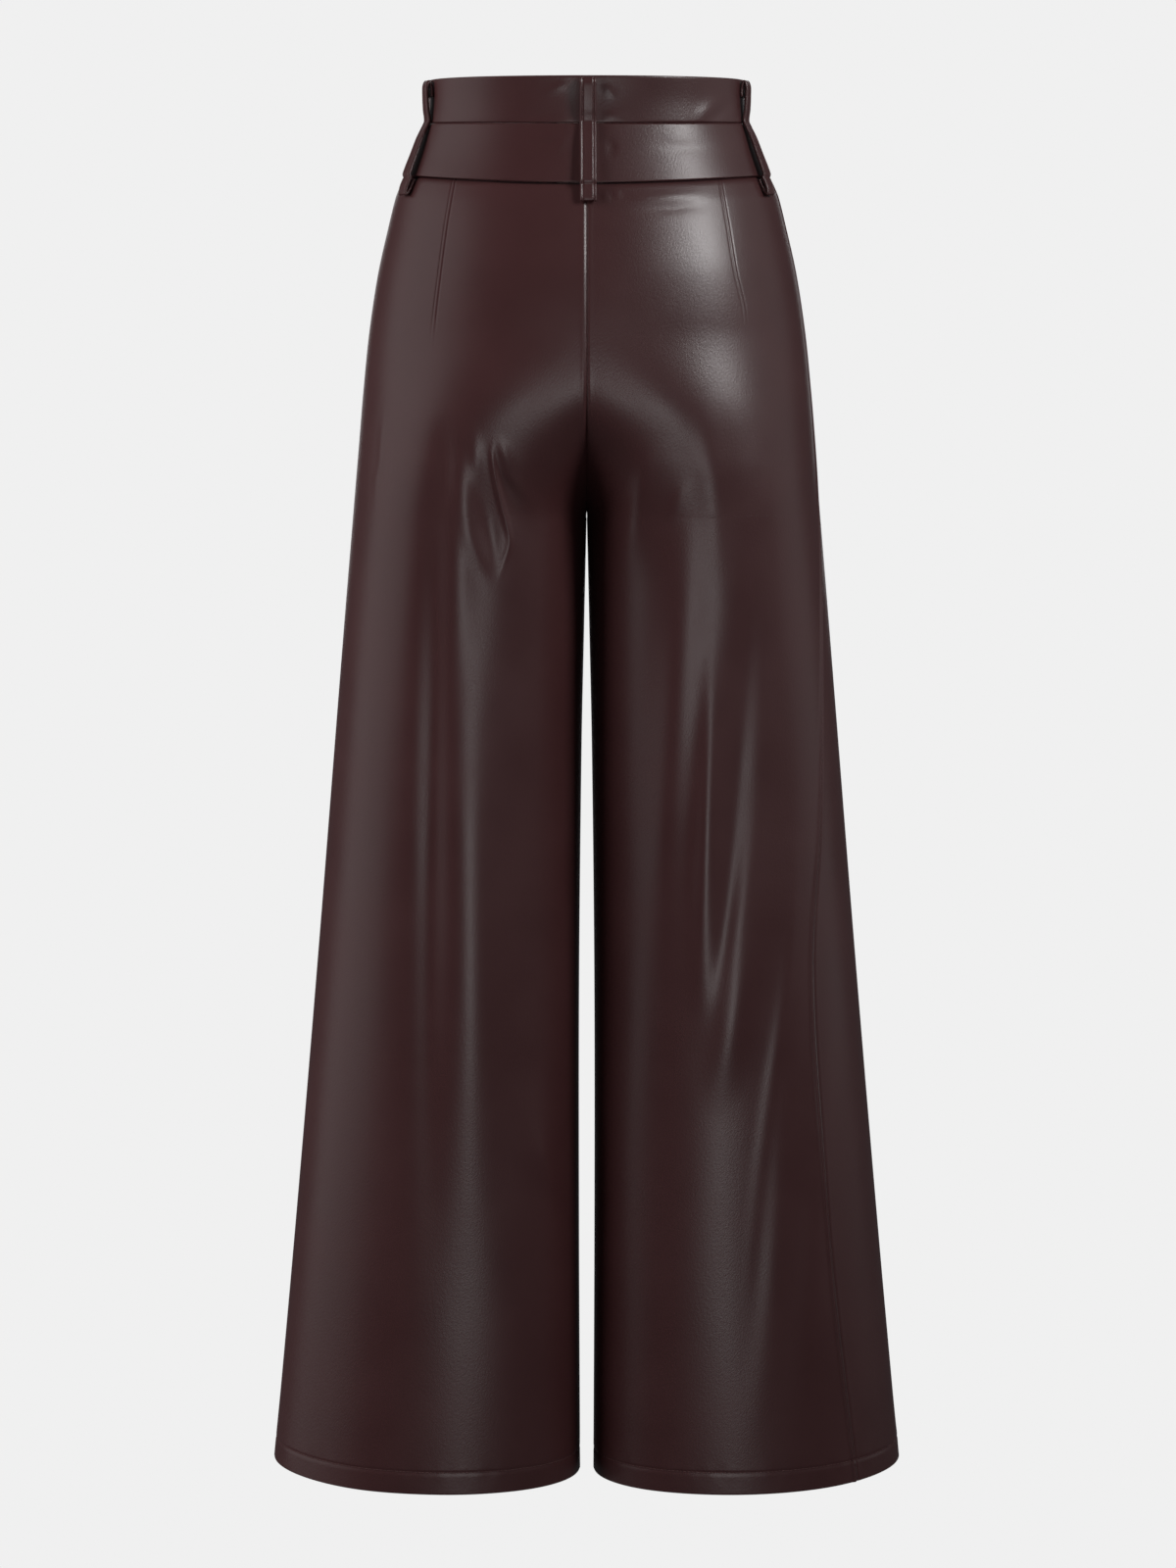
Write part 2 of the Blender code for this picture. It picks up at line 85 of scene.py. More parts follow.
floor_material = bpy.data.materials.new("studio_floor")
floor_material.use_nodes = True
floor_nodes, floor_links = floor_material.node_tree.nodes, floor_material.node_tree.links
floor_nodes.clear()
floor_glow = floor_nodes.new("ShaderNodeEmission")
floor_glow.inputs["Color"].default_value = PALE
floor_out = floor_nodes.new("ShaderNodeOutputMaterial")
floor_links.new(floor_glow.outputs[0], floor_out.inputs["Surface"])
floor_mesh = bpy.data.meshes.new("studio_floor")
floor_rim = [(FLOOR_RADIUS * math.cos(math.radians(a)), FLOOR_RADIUS * math.sin(math.radians(a)), FLOOR_LEVEL)
             for a in range(0, 360, 5)]
floor_mesh.from_pydata(floor_rim, [], [tuple(range(len(floor_rim)))])
floor_mesh.materials.append(floor_material)
studio_floor = bpy.data.objects.new("studio_floor", floor_mesh)
scene.collection.objects.link(studio_floor)
studio_floor.visible_diffuse = False
studio_floor.visible_glossy = False
studio_floor.visible_shadow = False


def add_light_panel(name, bearing, height, distance, width, tall, power, aim, mirrored=True, beam=180.0):
    """A softbox, with its bearing in degrees from the camera towards the picture's right."""
    light = bpy.data.lights.new(name, "AREA")
    light.shape = "RECTANGLE"
    light.size = width
    light.size_y = tall
    light.energy = power
    light.spread = math.radians(beam)
    panel = bpy.data.objects.new(name, light)
    way = math.radians(bearing)
    panel.location = (-distance * math.sin(way), distance * math.cos(way), height)
    look = Vector(aim) - panel.location
    panel.rotation_euler = look.to_track_quat("-Z", "Y").to_euler()
    panel.visible_glossy = mirrored
    scene.collection.objects.link(panel)


add_light_panel("left_wide_panel", -86.0, 0.10, 2.6, 2.90, 3.4, 23.0, (0.1, 0.0, -0.5))
add_light_panel("left_low_softbox", -74.0, 0.50, 2.2, 1.50, 1.50, 42.0, (0.1, 0.0, -0.4), False)
add_light_panel("right_high_softbox", 52.0, 1.05, 2.3, 0.70, 1.00, 7.3, (-0.08, 0.1, -0.12), beam=70.0)
add_light_panel("camera_side_strip", 4.0, -1.20, 4.0, 0.90, 0.9, 18.0, (0.0, 0.0, -0.5))
add_light_panel("right_dim_panel", 95.0, 0.20, 3.0, 2.4, 3.0, 9.0, (-0.1, 0.0, -0.5))
add_light_panel("front_fill", 180.0, 0.60, 3.2, 2.6, 2.6, 22.0, (0.0, 0.0, -0.5))

# ---------------------------------------------------------------------------------------------
# The faux leather: a satin burgundy-brown skin with a fine slanting grain, on a matt knitted
# backing. The skin is one finish for all outer pieces, and the backing shows only inside.
# ---------------------------------------------------------------------------------------------
SKIN_DARK = (0.040, 0.0135, 0.0140, 1.0)
SKIN_LIGHT = (0.056, 0.0200, 0.0205, 1.0)
SKIN_ROUGHNESS = 0.37
GRAIN_PITCH = 0.0011
GRAIN_DEPTH = 0.00010
STREAK_SLANT = -36.0
STREAK_STRETCH = 2.4
PEBBLE_SHARE = -0.30
GLOSS_DRIFT = 0.025
BACKING_DARK = (0.085, 0.058, 0.054, 1.0)
BACKING_LIGHT = (0.140, 0.102, 0.096, 1.0)
BACKING_ROUGHNESS = 0.92
RIB_PITCH = 0.0014
RIB_DEPTH = 0.00012


def start_group(name, inputs, outputs):
    group = bpy.data.node_groups.new(name, "ShaderNodeTree")
    for socket, kind, value in inputs:
        made = group.interface.new_socket(socket, in_out="INPUT", socket_type=kind)
        if value is not None:
            made.default_value = value
    for socket, kind in outputs:
        group.interface.new_socket(socket, in_out="OUTPUT", socket_type=kind)
    return group, group.nodes.new("NodeGroupInput"), group.nodes.new("NodeGroupOutput")


def add_math(tree, operation, first, second):
    """A maths node fed by sockets or plain numbers."""
    node = tree.nodes.new("ShaderNodeMath")
    node.operation = operation
    for slot, value in enumerate((first, second)):
        if isinstance(value, (int, float)):
            node.inputs[slot].default_value = value
        else:
            tree.links.new(value, node.inputs[slot])
    return node.outputs[0]


def make_pressed_grain():
    """Slanting streaks crossed by fine pebbles, from flat cloth coordinates in metres."""
    group, given, put = start_group(
        "pressed_grain",
        [("Cloth", "NodeSocketVector", None), ("Pitch", "NodeSocketFloat", GRAIN_PITCH)],
        [("Height", "NodeSocketFloat")])
    density = add_math(group, "DIVIDE", 1.0, given.outputs["Pitch"])
    scaled = group.nodes.new("ShaderNodeVectorMath")
    scaled.operation = "SCALE"
    group.links.new(given.outputs["Cloth"], scaled.inputs[0])
    group.links.new(density, scaled.inputs["Scale"])
    slanted = group.nodes.new("ShaderNodeMapping")
    slanted.vector_type = "TEXTURE"
    slanted.inputs["Rotation"].default_value = (0.0, 0.0, math.radians(STREAK_SLANT))
    slanted.inputs["Scale"].default_value = (1.0, STREAK_STRETCH, 1.0)
    group.links.new(scaled.outputs[0], slanted.inputs["Vector"])
    streak = group.nodes.new("ShaderNodeTexNoise")
    streak.inputs["Scale"].default_value = 1.0
    streak.inputs["Detail"].default_value = 2.0
    group.links.new(slanted.outputs[0], streak.inputs["Vector"])
    pebble = group.nodes.new("ShaderNodeTexVoronoi")
    pebble.feature = "SMOOTH_F1"
    pebble.inputs["Scale"].default_value = 1.15
    group.links.new(scaled.outputs[0], pebble.inputs["Vector"])
    hollow = add_math(group, "MULTIPLY", pebble.outputs["Distance"], PEBBLE_SHARE)
    group.links.new(add_math(group, "ADD", streak.outputs["Fac"], hollow), put.inputs["Height"])
    return group


def make_soft_mottle():
    """A slow drift over the cloth, for colour and gloss that are never quite even."""
    group, given, put = start_group(
        "soft_mottle",
        [("Cloth", "NodeSocketVector", None), ("Spread", "NodeSocketFloat", 14.0)],
        [("Drift", "NodeSocketFloat")])
    cloud = group.nodes.new("ShaderNodeTexNoise")
    cloud.inputs["Detail"].default_value = 3.0
    cloud.inputs["Roughness"].default_value = 0.55
    group.links.new(given.outputs["Cloth"], cloud.inputs["Vector"])
    group.links.new(given.outputs["Spread"], cloud.inputs["Scale"])
    group.links.new(cloud.outputs["Fac"], put.inputs["Drift"])
    return group


pressed_grain = make_pressed_grain()
soft_mottle = make_soft_mottle()


def start_finish(name, roughness):
    """A material with its cloth coordinates, its shader and the slow drift in place."""
    material = bpy.data.materials.new(name)
    material.use_nodes = True
    tree = material.node_tree
    shader = tree.nodes["Principled BSDF"]
    shader.inputs["Roughness"].default_value = roughness
    cloth = tree.nodes.new("ShaderNodeUVMap")
    cloth.uv_map = "cloth"
    drift = tree.nodes.new("ShaderNodeGroup")
    drift.node_tree = soft_mottle
    tree.links.new(cloth.outputs[0], drift.inputs["Cloth"])
    return material, tree, shader, cloth, drift


def link_colour(tree, shader, factor, dark, light):
    mixed = tree.nodes.new("ShaderNodeMix")
    mixed.data_type = "RGBA"
    mixed.inputs[6].default_value = dark
    mixed.inputs[7].default_value = light
    tree.links.new(factor, mixed.inputs[0])
    tree.links.new(mixed.outputs[2], shader.inputs["Base Color"])


def link_bump(tree, shader, height, depth):
    bump = tree.nodes.new("ShaderNodeBump")
    bump.inputs["Strength"].default_value = 1.0
    bump.inputs["Distance"].default_value = depth
    tree.links.new(height, bump.inputs["Height"])
    tree.links.new(bump.outputs[0], shader.inputs["Normal"])


def make_faux_leather(name, pitch, depth, roughness):
    material, tree, shader, cloth, drift = start_finish(name, roughness)
    grain = tree.nodes.new("ShaderNodeGroup")
    grain.node_tree = pressed_grain
    grain.inputs["Pitch"].default_value = pitch
    tree.links.new(cloth.outputs[0], grain.inputs["Cloth"])
    link_colour(tree, shader, drift.outputs["Drift"], SKIN_DARK, SKIN_LIGHT)
    gloss = tree.nodes.new("ShaderNodeMapRange")
    gloss.inputs["From Min"].default_value = 0.3
    gloss.inputs["From Max"].default_value = 0.7
    gloss.inputs["To Min"].default_value = roughness - GLOSS_DRIFT
    gloss.inputs["To Max"].default_value = roughness + GLOSS_DRIFT
    tree.links.new(drift.outputs["Drift"], gloss.inputs["Value"])
    tree.links.new(gloss.outputs[0], shader.inputs["Roughness"])
    link_bump(tree, shader, grain.outputs["Height"], depth)
    return material


def make_knit_backing(name):
    material, tree, shader, cloth, drift = start_finish(name, BACKING_ROUGHNESS)
    rib = tree.nodes.new("ShaderNodeTexWave")
    rib.bands_direction = "X"
    rib.inputs["Scale"].default_value = 0.314 / RIB_PITCH
    rib.inputs["Distortion"].default_value = 1.4
    rib.inputs["Detail Scale"].default_value = 2.0
    tree.links.new(cloth.outputs[0], rib.inputs["Vector"])
    shade = add_math(tree, "MULTIPLY", rib.outputs["Fac"], drift.outputs["Drift"])
    link_colour(tree, shader, add_math(tree, "MULTIPLY", shade, 1.6), BACKING_DARK, BACKING_LIGHT)
    link_bump(tree, shader, rib.outputs["Fac"], RIB_DEPTH)
    return material


leather_skin = make_faux_leather("faux_leather_skin", GRAIN_PITCH, GRAIN_DEPTH, SKIN_ROUGHNESS)
knit_backing = make_knit_backing("knit_backing")

# ---------------------------------------------------------------------------------------------
# The four leg panels, cut from the faux leather: two backs shaped by a dart, and two fronts. They
# are seamed at the sides, the inseams and the centres, turned up 17 mm at the hem, and hang from
# the waistband in the folds that they fell into.
# ---------------------------------------------------------------------------------------------
CLOTH = 0.0015
SEAM_GAP = 0.0003
SEAM_LAP = 0.0001
BAND_FOOT = -0.0355
SEAT_LEVEL = -0.1450
CROTCH_LEVEL = -0.2920
HEM_LEVEL = -1.0285
HEM_DEPTH = 0.0172
OUTLINE_TURN = 0.0120
LEFT, RIGHT = 1, -1

BodyRow = namedtuple(
    "BodyRow", "level half_width back_depth front_depth back_dip front_dip squareness inner_squareness")
BODY = [
    BodyRow(BAND_FOOT - SEAM_GAP, 0.1360, 0.0969, 0.0909, 0.0071, 0.0060, 2.15, 2.8),
    BodyRow(-0.0440, 0.1401, 0.1000, 0.0932, 0.0066, 0.0056, 2.15, 2.8),
    BodyRow(-0.0520, 0.1433, 0.1030, 0.0952, 0.0059, 0.0050, 2.15, 2.8),
    BodyRow(-0.0740, 0.1489, 0.1092, 0.0990, 0.0035, 0.0030, 2.15, 2.8),
    BodyRow(-0.1090, 0.1569, 0.1164, 0.1032, 0.0012, 0.0008, 2.15, 2.8),
    BodyRow(-0.1530, 0.1638, 0.1200, 0.1055, 0.0000, 0.0000, 2.15, 2.8),
    BodyRow(-0.1970, 0.1685, 0.1190, 0.1060, 0.0000, 0.0000, 2.15, 2.6),
    BodyRow(-0.2420, 0.1725, 0.1122, 0.1050, 0.0000, 0.0000, 2.15, 2.4),
    BodyRow(-0.2920, 0.1770, 0.1046, 0.1025, 0.0000, 0.0000, 2.15, 2.3),
    BodyRow(-0.3760, 0.1845, 0.0982, 0.0980, 0.0000, 0.0000, 2.15, 2.2),
    BodyRow(-0.4660, 0.1923, 0.0957, 0.0950, 0.0000, 0.0000, 2.15, 2.15),
    BodyRow(-0.6020, 0.2041, 0.0938, 0.0930, 0.0000, 0.0000, 2.12, 2.1),
    BodyRow(-0.7400, 0.2165, 0.0912, 0.0930, 0.0000, 0.0000, 2.08, 2.1),
    BodyRow(-0.8780, 0.2294, 0.0892, 0.0940, 0.0000, 0.0000, 2.04, 2.1),
    BodyRow(HEM_LEVEL, 0.2441, 0.0875, 0.0955, 0.0000, 0.0000, 2.00, 2.05),
]
GapRow = namedtuple("GapRow", "level half_gap")
LEG_GAP = [
    GapRow(CROTCH_LEVEL, 0.0003),
    GapRow(-0.3760, 0.0022),
    GapRow(-0.4660, 0.0041),
    GapRow(-0.6470, 0.0060),
    GapRow(-0.8320, 0.0061),
    GapRow(HEM_LEVEL, 0.0053),
]
SwingRow = namedtuple("SwingRow", "level swing")
OUTSEAM_SWING = [
    SwingRow(BAND_FOOT, 0.0),
    SwingRow(-0.2200, 3.0),
    SwingRow(-0.2900, 12.0),
    SwingRow(-0.3670, 22.5),
    SwingRow(-0.4420, 31.0),
    SwingRow(-0.5180, 38.5),
    SwingRow(-0.6240, 50.0),
    SwingRow(-0.8000, 52.0),
    SwingRow(HEM_LEVEL, 46.0),
]

# The largest folds, which the solids have too: head and foot levels, and how far they rise
Fold = namedtuple("Fold", "head foot head_across foot_across bow half_width rise crest")
FOLDS = {
    (LEFT, True): [
        Fold(-0.215, -0.420, 0.092, 0.096, 0.001, 0.012, 0.0025, 0.45),
        Fold(-0.215, -0.900, 0.110, 0.119, 0.001, 0.011, -0.0038, 0.35),
        Fold(-0.330, -0.900, 0.086, 0.088, 0.000, 0.024, 0.0055, 0.50),
        Fold(-0.400, -0.800, 0.040, 0.044, 0.000, 0.018, -0.0012, 0.45),
        Fold(-0.690, -0.900, 0.050, 0.018, 0.000, 0.018, 0.0025, 0.40),
    ],
    (RIGHT, True): [
        Fold(-0.190, -0.380, 0.085, 0.097, 0.003, 0.010, 0.0012, 0.35),
        Fold(-0.225, -0.345, 0.047, 0.028, 0.000, 0.013, 0.0025, 0.50),
        Fold(-0.245, -0.660, 0.080, 0.052, -0.001, 0.014, 0.0030, 0.45),
        Fold(-0.325, -0.710, 0.097, 0.088, -0.002, 0.011, 0.0040, 0.55),
        Fold(-0.240, -0.560, 0.131, 0.106, 0.000, 0.011, -0.0025, 0.60),
        Fold(-0.480, -0.740, 0.137, 0.098, 0.000, 0.013, 0.0040, 0.70),
        Fold(-0.500, -1.000, 0.158, 0.128, 0.000, 0.014, 0.0035, 0.55),
        Fold(-0.560, -0.985, 0.148, 0.120, 0.003, 0.012, -0.0025, 0.60),
        Fold(-0.620, -1.010, 0.180, 0.160, 0.004, 0.015, 0.0030, 0.50),
    ],
    (LEFT, False): [
        Fold(-0.235, -0.420, 0.030, 0.075, 0.006, 0.014, 0.0035, 0.30),
        Fold(-0.270, -0.800, 0.112, 0.104, 0.000, 0.020, 0.0070, 0.45),
        Fold(-0.300, -0.760, 0.072, 0.070, 0.002, 0.018, -0.0045, 0.45),
        Fold(-0.560, -0.990, 0.150, 0.172, 0.000, 0.018, 0.0050, 0.50),
        Fold(-0.640, -0.980, 0.060, 0.046, 0.000, 0.018, 0.0040, 0.50),
    ],
    (RIGHT, False): [
        Fold(-0.230, -0.400, 0.034, 0.080, 0.005, 0.014, 0.0035, 0.35),
        Fold(-0.250, -0.720, 0.100, 0.118, 0.000, 0.020, 0.0065, 0.50),
        Fold(-0.330, -0.820, 0.070, 0.084, 0.000, 0.018, -0.0045, 0.45),
        Fold(-0.500, -0.960, 0.048, 0.060, 0.000, 0.018, 0.0050, 0.45),
        Fold(-0.620, -1.000, 0.150, 0.160, 0.003, 0.018, 0.0045, 0.50),
    ],
}

# Finer creases in the cloth: a route of (distance from the centre, level) points, the half width,
# the rise, the share of the way along at which it is highest, and how much it narrows to its foot
Crease = namedtuple("Crease", "route half_width rise crest taper", defaults=(0.0,))
CREASES = {
    (LEFT, True): [
        Crease(((0.0790, -0.232), (0.0748, -0.262), (0.0716, -0.288), (0.0690, -0.310), (0.0690, -0.338)),
               0.0110, -0.0028, 0.62, 0.45),
        Crease(((0.0935, -0.228), (0.0905, -0.262), (0.0850, -0.298), (0.0760, -0.325), (0.0700, -0.345)),
               0.0066, 0.0013, 0.60),
        Crease(((0.0662, -0.2236), (0.0690, -0.238), (0.0662, -0.2595), (0.0614, -0.2806),
                (0.0570, -0.299), (0.0572, -0.308), (0.0600, -0.317), (0.0669, -0.340)),
               0.0023, 0.0019, 0.35),
        Crease(((0.0662, -0.2236), (0.0597, -0.240), (0.0557, -0.2554), (0.0445, -0.269), (0.0332, -0.281)),
               0.0044, 0.0010, 0.30),
        Crease(((0.0640, -0.232), (0.0580, -0.262), (0.0490, -0.290), (0.0420, -0.315)),
               0.0080, -0.0022, 0.40),
        Crease(((0.1040, -0.205), (0.1035, -0.240), (0.1050, -0.290)), 0.0085, -0.0016, 0.50),
        Crease(((0.083, -0.214), (0.081, -0.240), (0.079, -0.268)), 0.0040, 0.0008, 0.50),
        Crease(((0.149, -0.205), (0.1515, -0.228), (0.153, -0.249), (0.156, -0.262), (0.158, -0.300)),
               0.0022, 0.0006, 0.35),
        Crease(((0.046, -0.735), (0.031, -0.780), (0.018, -0.815)), 0.0070, 0.0010, 0.50),
    ],
    (RIGHT, True): [
        Crease(((0.0455, -0.228), (0.034, -0.2945), (0.030, -0.326)), 0.0060, 0.0008, 0.50),
        Crease(((0.075, -0.255), (0.059, -0.2945)), 0.0055, 0.0007, 0.50),
        Crease(((0.0975, -0.335), (0.094, -0.366), (0.0915, -0.403), (0.091, -0.450), (0.089, -0.506),
                (0.087, -0.562), (0.086, -0.619), (0.090, -0.690)), 0.0062, 0.0009, 0.45),
        Crease(((0.118, -0.420), (0.111, -0.500), (0.102, -0.600), (0.097, -0.660)),
               0.0060, -0.0008, 0.60),
        Crease(((0.134, -0.440), (0.129, -0.487), (0.124, -0.525), (0.116, -0.572), (0.1076, -0.619),
                (0.096, -0.690)), 0.0068, 0.0009, 0.55),
        Crease(((0.157, -0.478), (0.155, -0.525), (0.150, -0.628), (0.137, -0.720), (0.129, -0.786),
                (0.1226, -0.863), (0.121, -0.941)), 0.0055, 0.0010, 0.45),
    ],
    (LEFT, False): [
        Crease(((0.020, -0.262), (0.046, -0.280), (0.078, -0.286)), 0.0050, 0.0014, 0.35),
        Crease(((0.024, -0.282), (0.052, -0.306), (0.086, -0.330)), 0.0055, 0.0015, 0.40),
        Crease(((0.022, -0.272), (0.050, -0.294), (0.080, -0.308)), 0.0050, -0.0014, 0.40),
        Crease(((0.110, -0.300), (0.106, -0.420), (0.108, -0.560), (0.104, -0.700)),
               0.0060, 0.0015, 0.45),
    ],
    (RIGHT, False): [
        Crease(((0.022, -0.256), (0.052, -0.276), (0.084, -0.290)), 0.0050, 0.0013, 0.35),
        Crease(((0.020, -0.278), (0.046, -0.304), (0.074, -0.340)), 0.0055, 0.0016, 0.40),
        Crease(((0.021, -0.268), (0.048, -0.290), (0.078, -0.316)), 0.0050, -0.0013, 0.40),
        Crease(((0.102, -0.280), (0.108, -0.400), (0.112, -0.540), (0.118, -0.690)),
               0.0060, 0.0015, 0.45),
    ],
}

# The back darts, from the waistband down, and a soft roll of cloth under the band at the right
DARTS = {
    LEFT: ((0.0975, -0.036), (0.1030, -0.070), (0.1080, -0.110), (0.1110, -0.135), (0.1140, -0.165)),
    RIGHT: ((0.0980, -0.036), (0.1035, -0.070), (0.1090, -0.105), (0.1156, -0.134), (0.1165, -0.150)),
}
DART_GROOVE = 0.0012
DART_HALF_WIDTH = 0.0006
DART_DEPTH = 0.00032
DART_RIDGE = 0.00020
BAND_ROLL = [
    Crease(((-0.100, -0.0450), (-0.060, -0.0470), (-0.022, -0.0480)), 0.0046, 0.0007, 0.50),
    Crease(((-0.098, -0.0550), (-0.060, -0.0570), (-0.024, -0.0580)), 0.0046, -0.0006, 0.50),
    Crease(((-0.012, -0.0400), (-0.016, -0.0520)), 0.0022, 0.0007, 0.50),
    Crease(((-0.019, -0.0390), (-0.025, -0.0500)), 0.0022, 0.0006, 0.50),
]


def smooth_step(share):
    share = np.clip(share, 0.0, 1.0)
    return share * share * (3.0 - 2.0 * share)


def read_table(rows, levels):
    """The table's columns at any levels, on smooth curves, as one row of arrays."""
    table = np.array(rows, float)
    knots = table[:, 0]
    last = len(table) - 1
    here = np.arange(last + 1)
    after, before = np.minimum(here + 1, last), np.maximum(here - 1, 0)
    slopes = (table[after] - table[before]) / (knots[after] - knots[before])[:, None]
    levels = np.asarray(levels, float)
    level = np.clip(levels.ravel(), knots[-1], knots[0])
    low = np.clip(np.searchsorted(-knots, -level, side="right") - 1, 0, last - 1)
    span = (knots[low + 1] - knots[low])[:, None]
    share = (level[:, None] - knots[low][:, None]) / span
    cube, square = share ** 3, share ** 2
    values = ((2 * cube - 3 * square + 1) * table[low]
              + (cube - 2 * square + share) * span * slopes[low]
              + (3 * square - 2 * cube) * table[low + 1]
              + (cube - square) * span * slopes[low + 1])
    return type(rows[0])(*(column.reshape(levels.shape) for column in values.T))


def section_points(row, level, angle, centre, reach, squareness):
    """Points of a section's outer line and the level directions outwards there."""
    across, behind = np.cos(angle), np.sin(angle) >= 0.0
    depth = np.where(behind, row.back_depth, row.front_depth)
    dip = np.where(behind, row.back_dip, row.front_dip)
    back = np.maximum(1.0 - np.abs(across) ** squareness, 0.0) ** (1.0 / squareness)
    back = np.copysign(back, np.sin(angle))
    points = np.stack([centre + reach * across, depth * back, level - dip * np.sin(angle) ** 2], -1)
    steep = squareness - 1.0
    out = np.stack([
        np.copysign(np.abs(across) ** steep, across) / reach,
        np.copysign(np.abs(back) ** steep, back) / depth,
        np.zeros_like(across)], -1)
    return points, out / np.linalg.norm(out, axis=-1, keepdims=True)


def leg_section(level):
    """Centre, reach and row of a half's section. The half parts from the other one going down."""
    row = read_table(BODY, level)
    half_gap = read_table(LEG_GAP, level).half_gap
    parted = smooth_step((SEAT_LEVEL - level) / (SEAT_LEVEL - CROTCH_LEVEL))
    centre = row.half_width * parted / (1.0 + parted) + half_gap * parted / 2.0
    return row, centre, row.half_width - centre


def angle_beside(depth, squareness, angle, shift):
    """The angle where a section is further back than at this one, by a small distance."""
    back = depth * (1.0 - np.cos(angle) ** squareness) ** (1.0 / squareness) + shift
    share = np.minimum(1.0, np.abs(back) / depth)
    return np.copysign(np.arccos((1.0 - share ** squareness) ** (1.0 / squareness)), back)


def fold_rise(folds, level, across):
    total = np.zeros_like(across)
    for fold in folds:
        down = np.clip((fold.head - level) / (fold.head - fold.foot), 0.0, 1.0)
        route = fold.head_across + (fold.foot_across - fold.head_across) * down
        route = route + fold.bow * 4.0 * down * (1.0 - down)
        swell = np.where(down < fold.crest, smooth_step(down / fold.crest),
                         smooth_step((1.0 - down) / (1.0 - fold.crest)))
        total += fold.rise * swell * np.exp(-((across - route) / fold.half_width) ** 2)
    return total


def bend_through(knots, steps):
    """Points along a smooth curve through the knots of a route."""
    knots = np.array(knots, float)
    spans = len(knots) - 1
    place = np.linspace(0.0, spans, steps + 1)
    i = np.minimum(place.astype(int), spans - 1)
    share = (place - i)[:, None]
    before, start = knots[np.maximum(i - 1, 0)], knots[i]
    end, after = knots[i + 1], knots[np.minimum(i + 2, spans)]
    return 0.5 * (2 * start + (end - before) * share
                  + (2 * before - 5 * start + 4 * end - after) * share ** 2
                  + (3 * start - before - 3 * end + after) * share ** 3)


def beside_route(route, across, level):
    """Distance from each point to a route, signed by its side, and the share of the way along."""
    line = bend_through(route, 5 * len(route))
    nearest = np.full(across.shape, 1.0)
    signed, place = np.full(across.shape, 1.0), np.zeros(across.shape)
    gone = 0.0
    for start, end in zip(line[:-1], line[1:]):
        way = end - start
        length = math.hypot(*way)
        share = ((across - start[0]) * way[0] + (level - start[1]) * way[1]) / length ** 2
        share = np.clip(share, 0.0, 1.0)
        off_across = across - start[0] - share * way[0]
        off_level = level - start[1] - share * way[1]
        distance = np.hypot(off_across, off_level)
        closer = distance < nearest
        side = np.sign(off_across * way[1] - off_level * way[0])
        nearest = np.where(closer, distance, nearest)
        signed = np.where(closer, distance * side, signed)
        place = np.where(closer, gone + share * length, place)
        gone += length
    return signed, place / gone


def crease_rise(creases, across, level):
    total = np.zeros_like(across)
    for crease in creases:
        offset, along = beside_route(crease.route, across, level)
        swell = np.where(along < crease.crest, smooth_step(along / crease.crest),
                         smooth_step((1.0 - along) / (1.0 - crease.crest)))
        reach = crease.half_width * (1.0 - crease.taper * along)
        total += crease.rise * swell * np.exp(-(offset / reach) ** 2)
    return total


def slow_ripple(first, second, seed):
    """A gentle unevenness between -1 and 1 that never repeats over a piece."""
    total = 0.0
    for step in range(4):
        turn = seed * 1.7 + step * 2.399
        wave = first * math.cos(turn) + second * math.sin(turn)
        total = total + np.sin(wave * (1.0 + 0.37 * step) + seed * 3.1 + step)
    return total / 4.0


def leg_points(side, level, angle):
    """The plain form of one half with its largest folds, given as on the left half."""
    row, centre, reach = leg_section(level)
    squareness = np.where(np.cos(angle) >= 0.0, row.squareness, row.inner_squareness)
    points, out = section_points(row, level, angle, centre, reach, squareness)
    turn = OUTLINE_TURN * smooth_step((SEAT_LEVEL - level) / (SEAT_LEVEL - HEM_LEVEL))
    points[..., 1] -= turn * np.cos(angle)
    calm = smooth_step(np.abs(np.sin(angle)) * 2.0)
    behind = np.sin(angle) >= 0.0
    rise = np.where(behind, fold_rise(FOLDS[side, True], level, points[..., 0]),
                    fold_rise(FOLDS[side, False], level, points[..., 0]))
    return points + out * (rise * calm)[..., None], out, calm, behind


def grid_normals(points):
    """Directions square to a grid of points."""
    along, down = np.gradient(points, axis=1), np.gradient(points, axis=0)
    square = np.cross(along, down)
    return square / np.maximum(np.linalg.norm(square, axis=-1, keepdims=True), 1e-12)


def add_piece(name, mesh):
    """An object of a closed mesh, with its faces turned outwards and shaded smooth."""
    work = bmesh.new()
    work.from_mesh(mesh)
    bmesh.ops.recalc_face_normals(work, faces=work.faces)
    work.to_mesh(mesh)
    work.free()
    mesh.shade_smooth()
    piece = bpy.data.objects.new(name, mesh)
    scene.collection.objects.link(piece)
    return piece


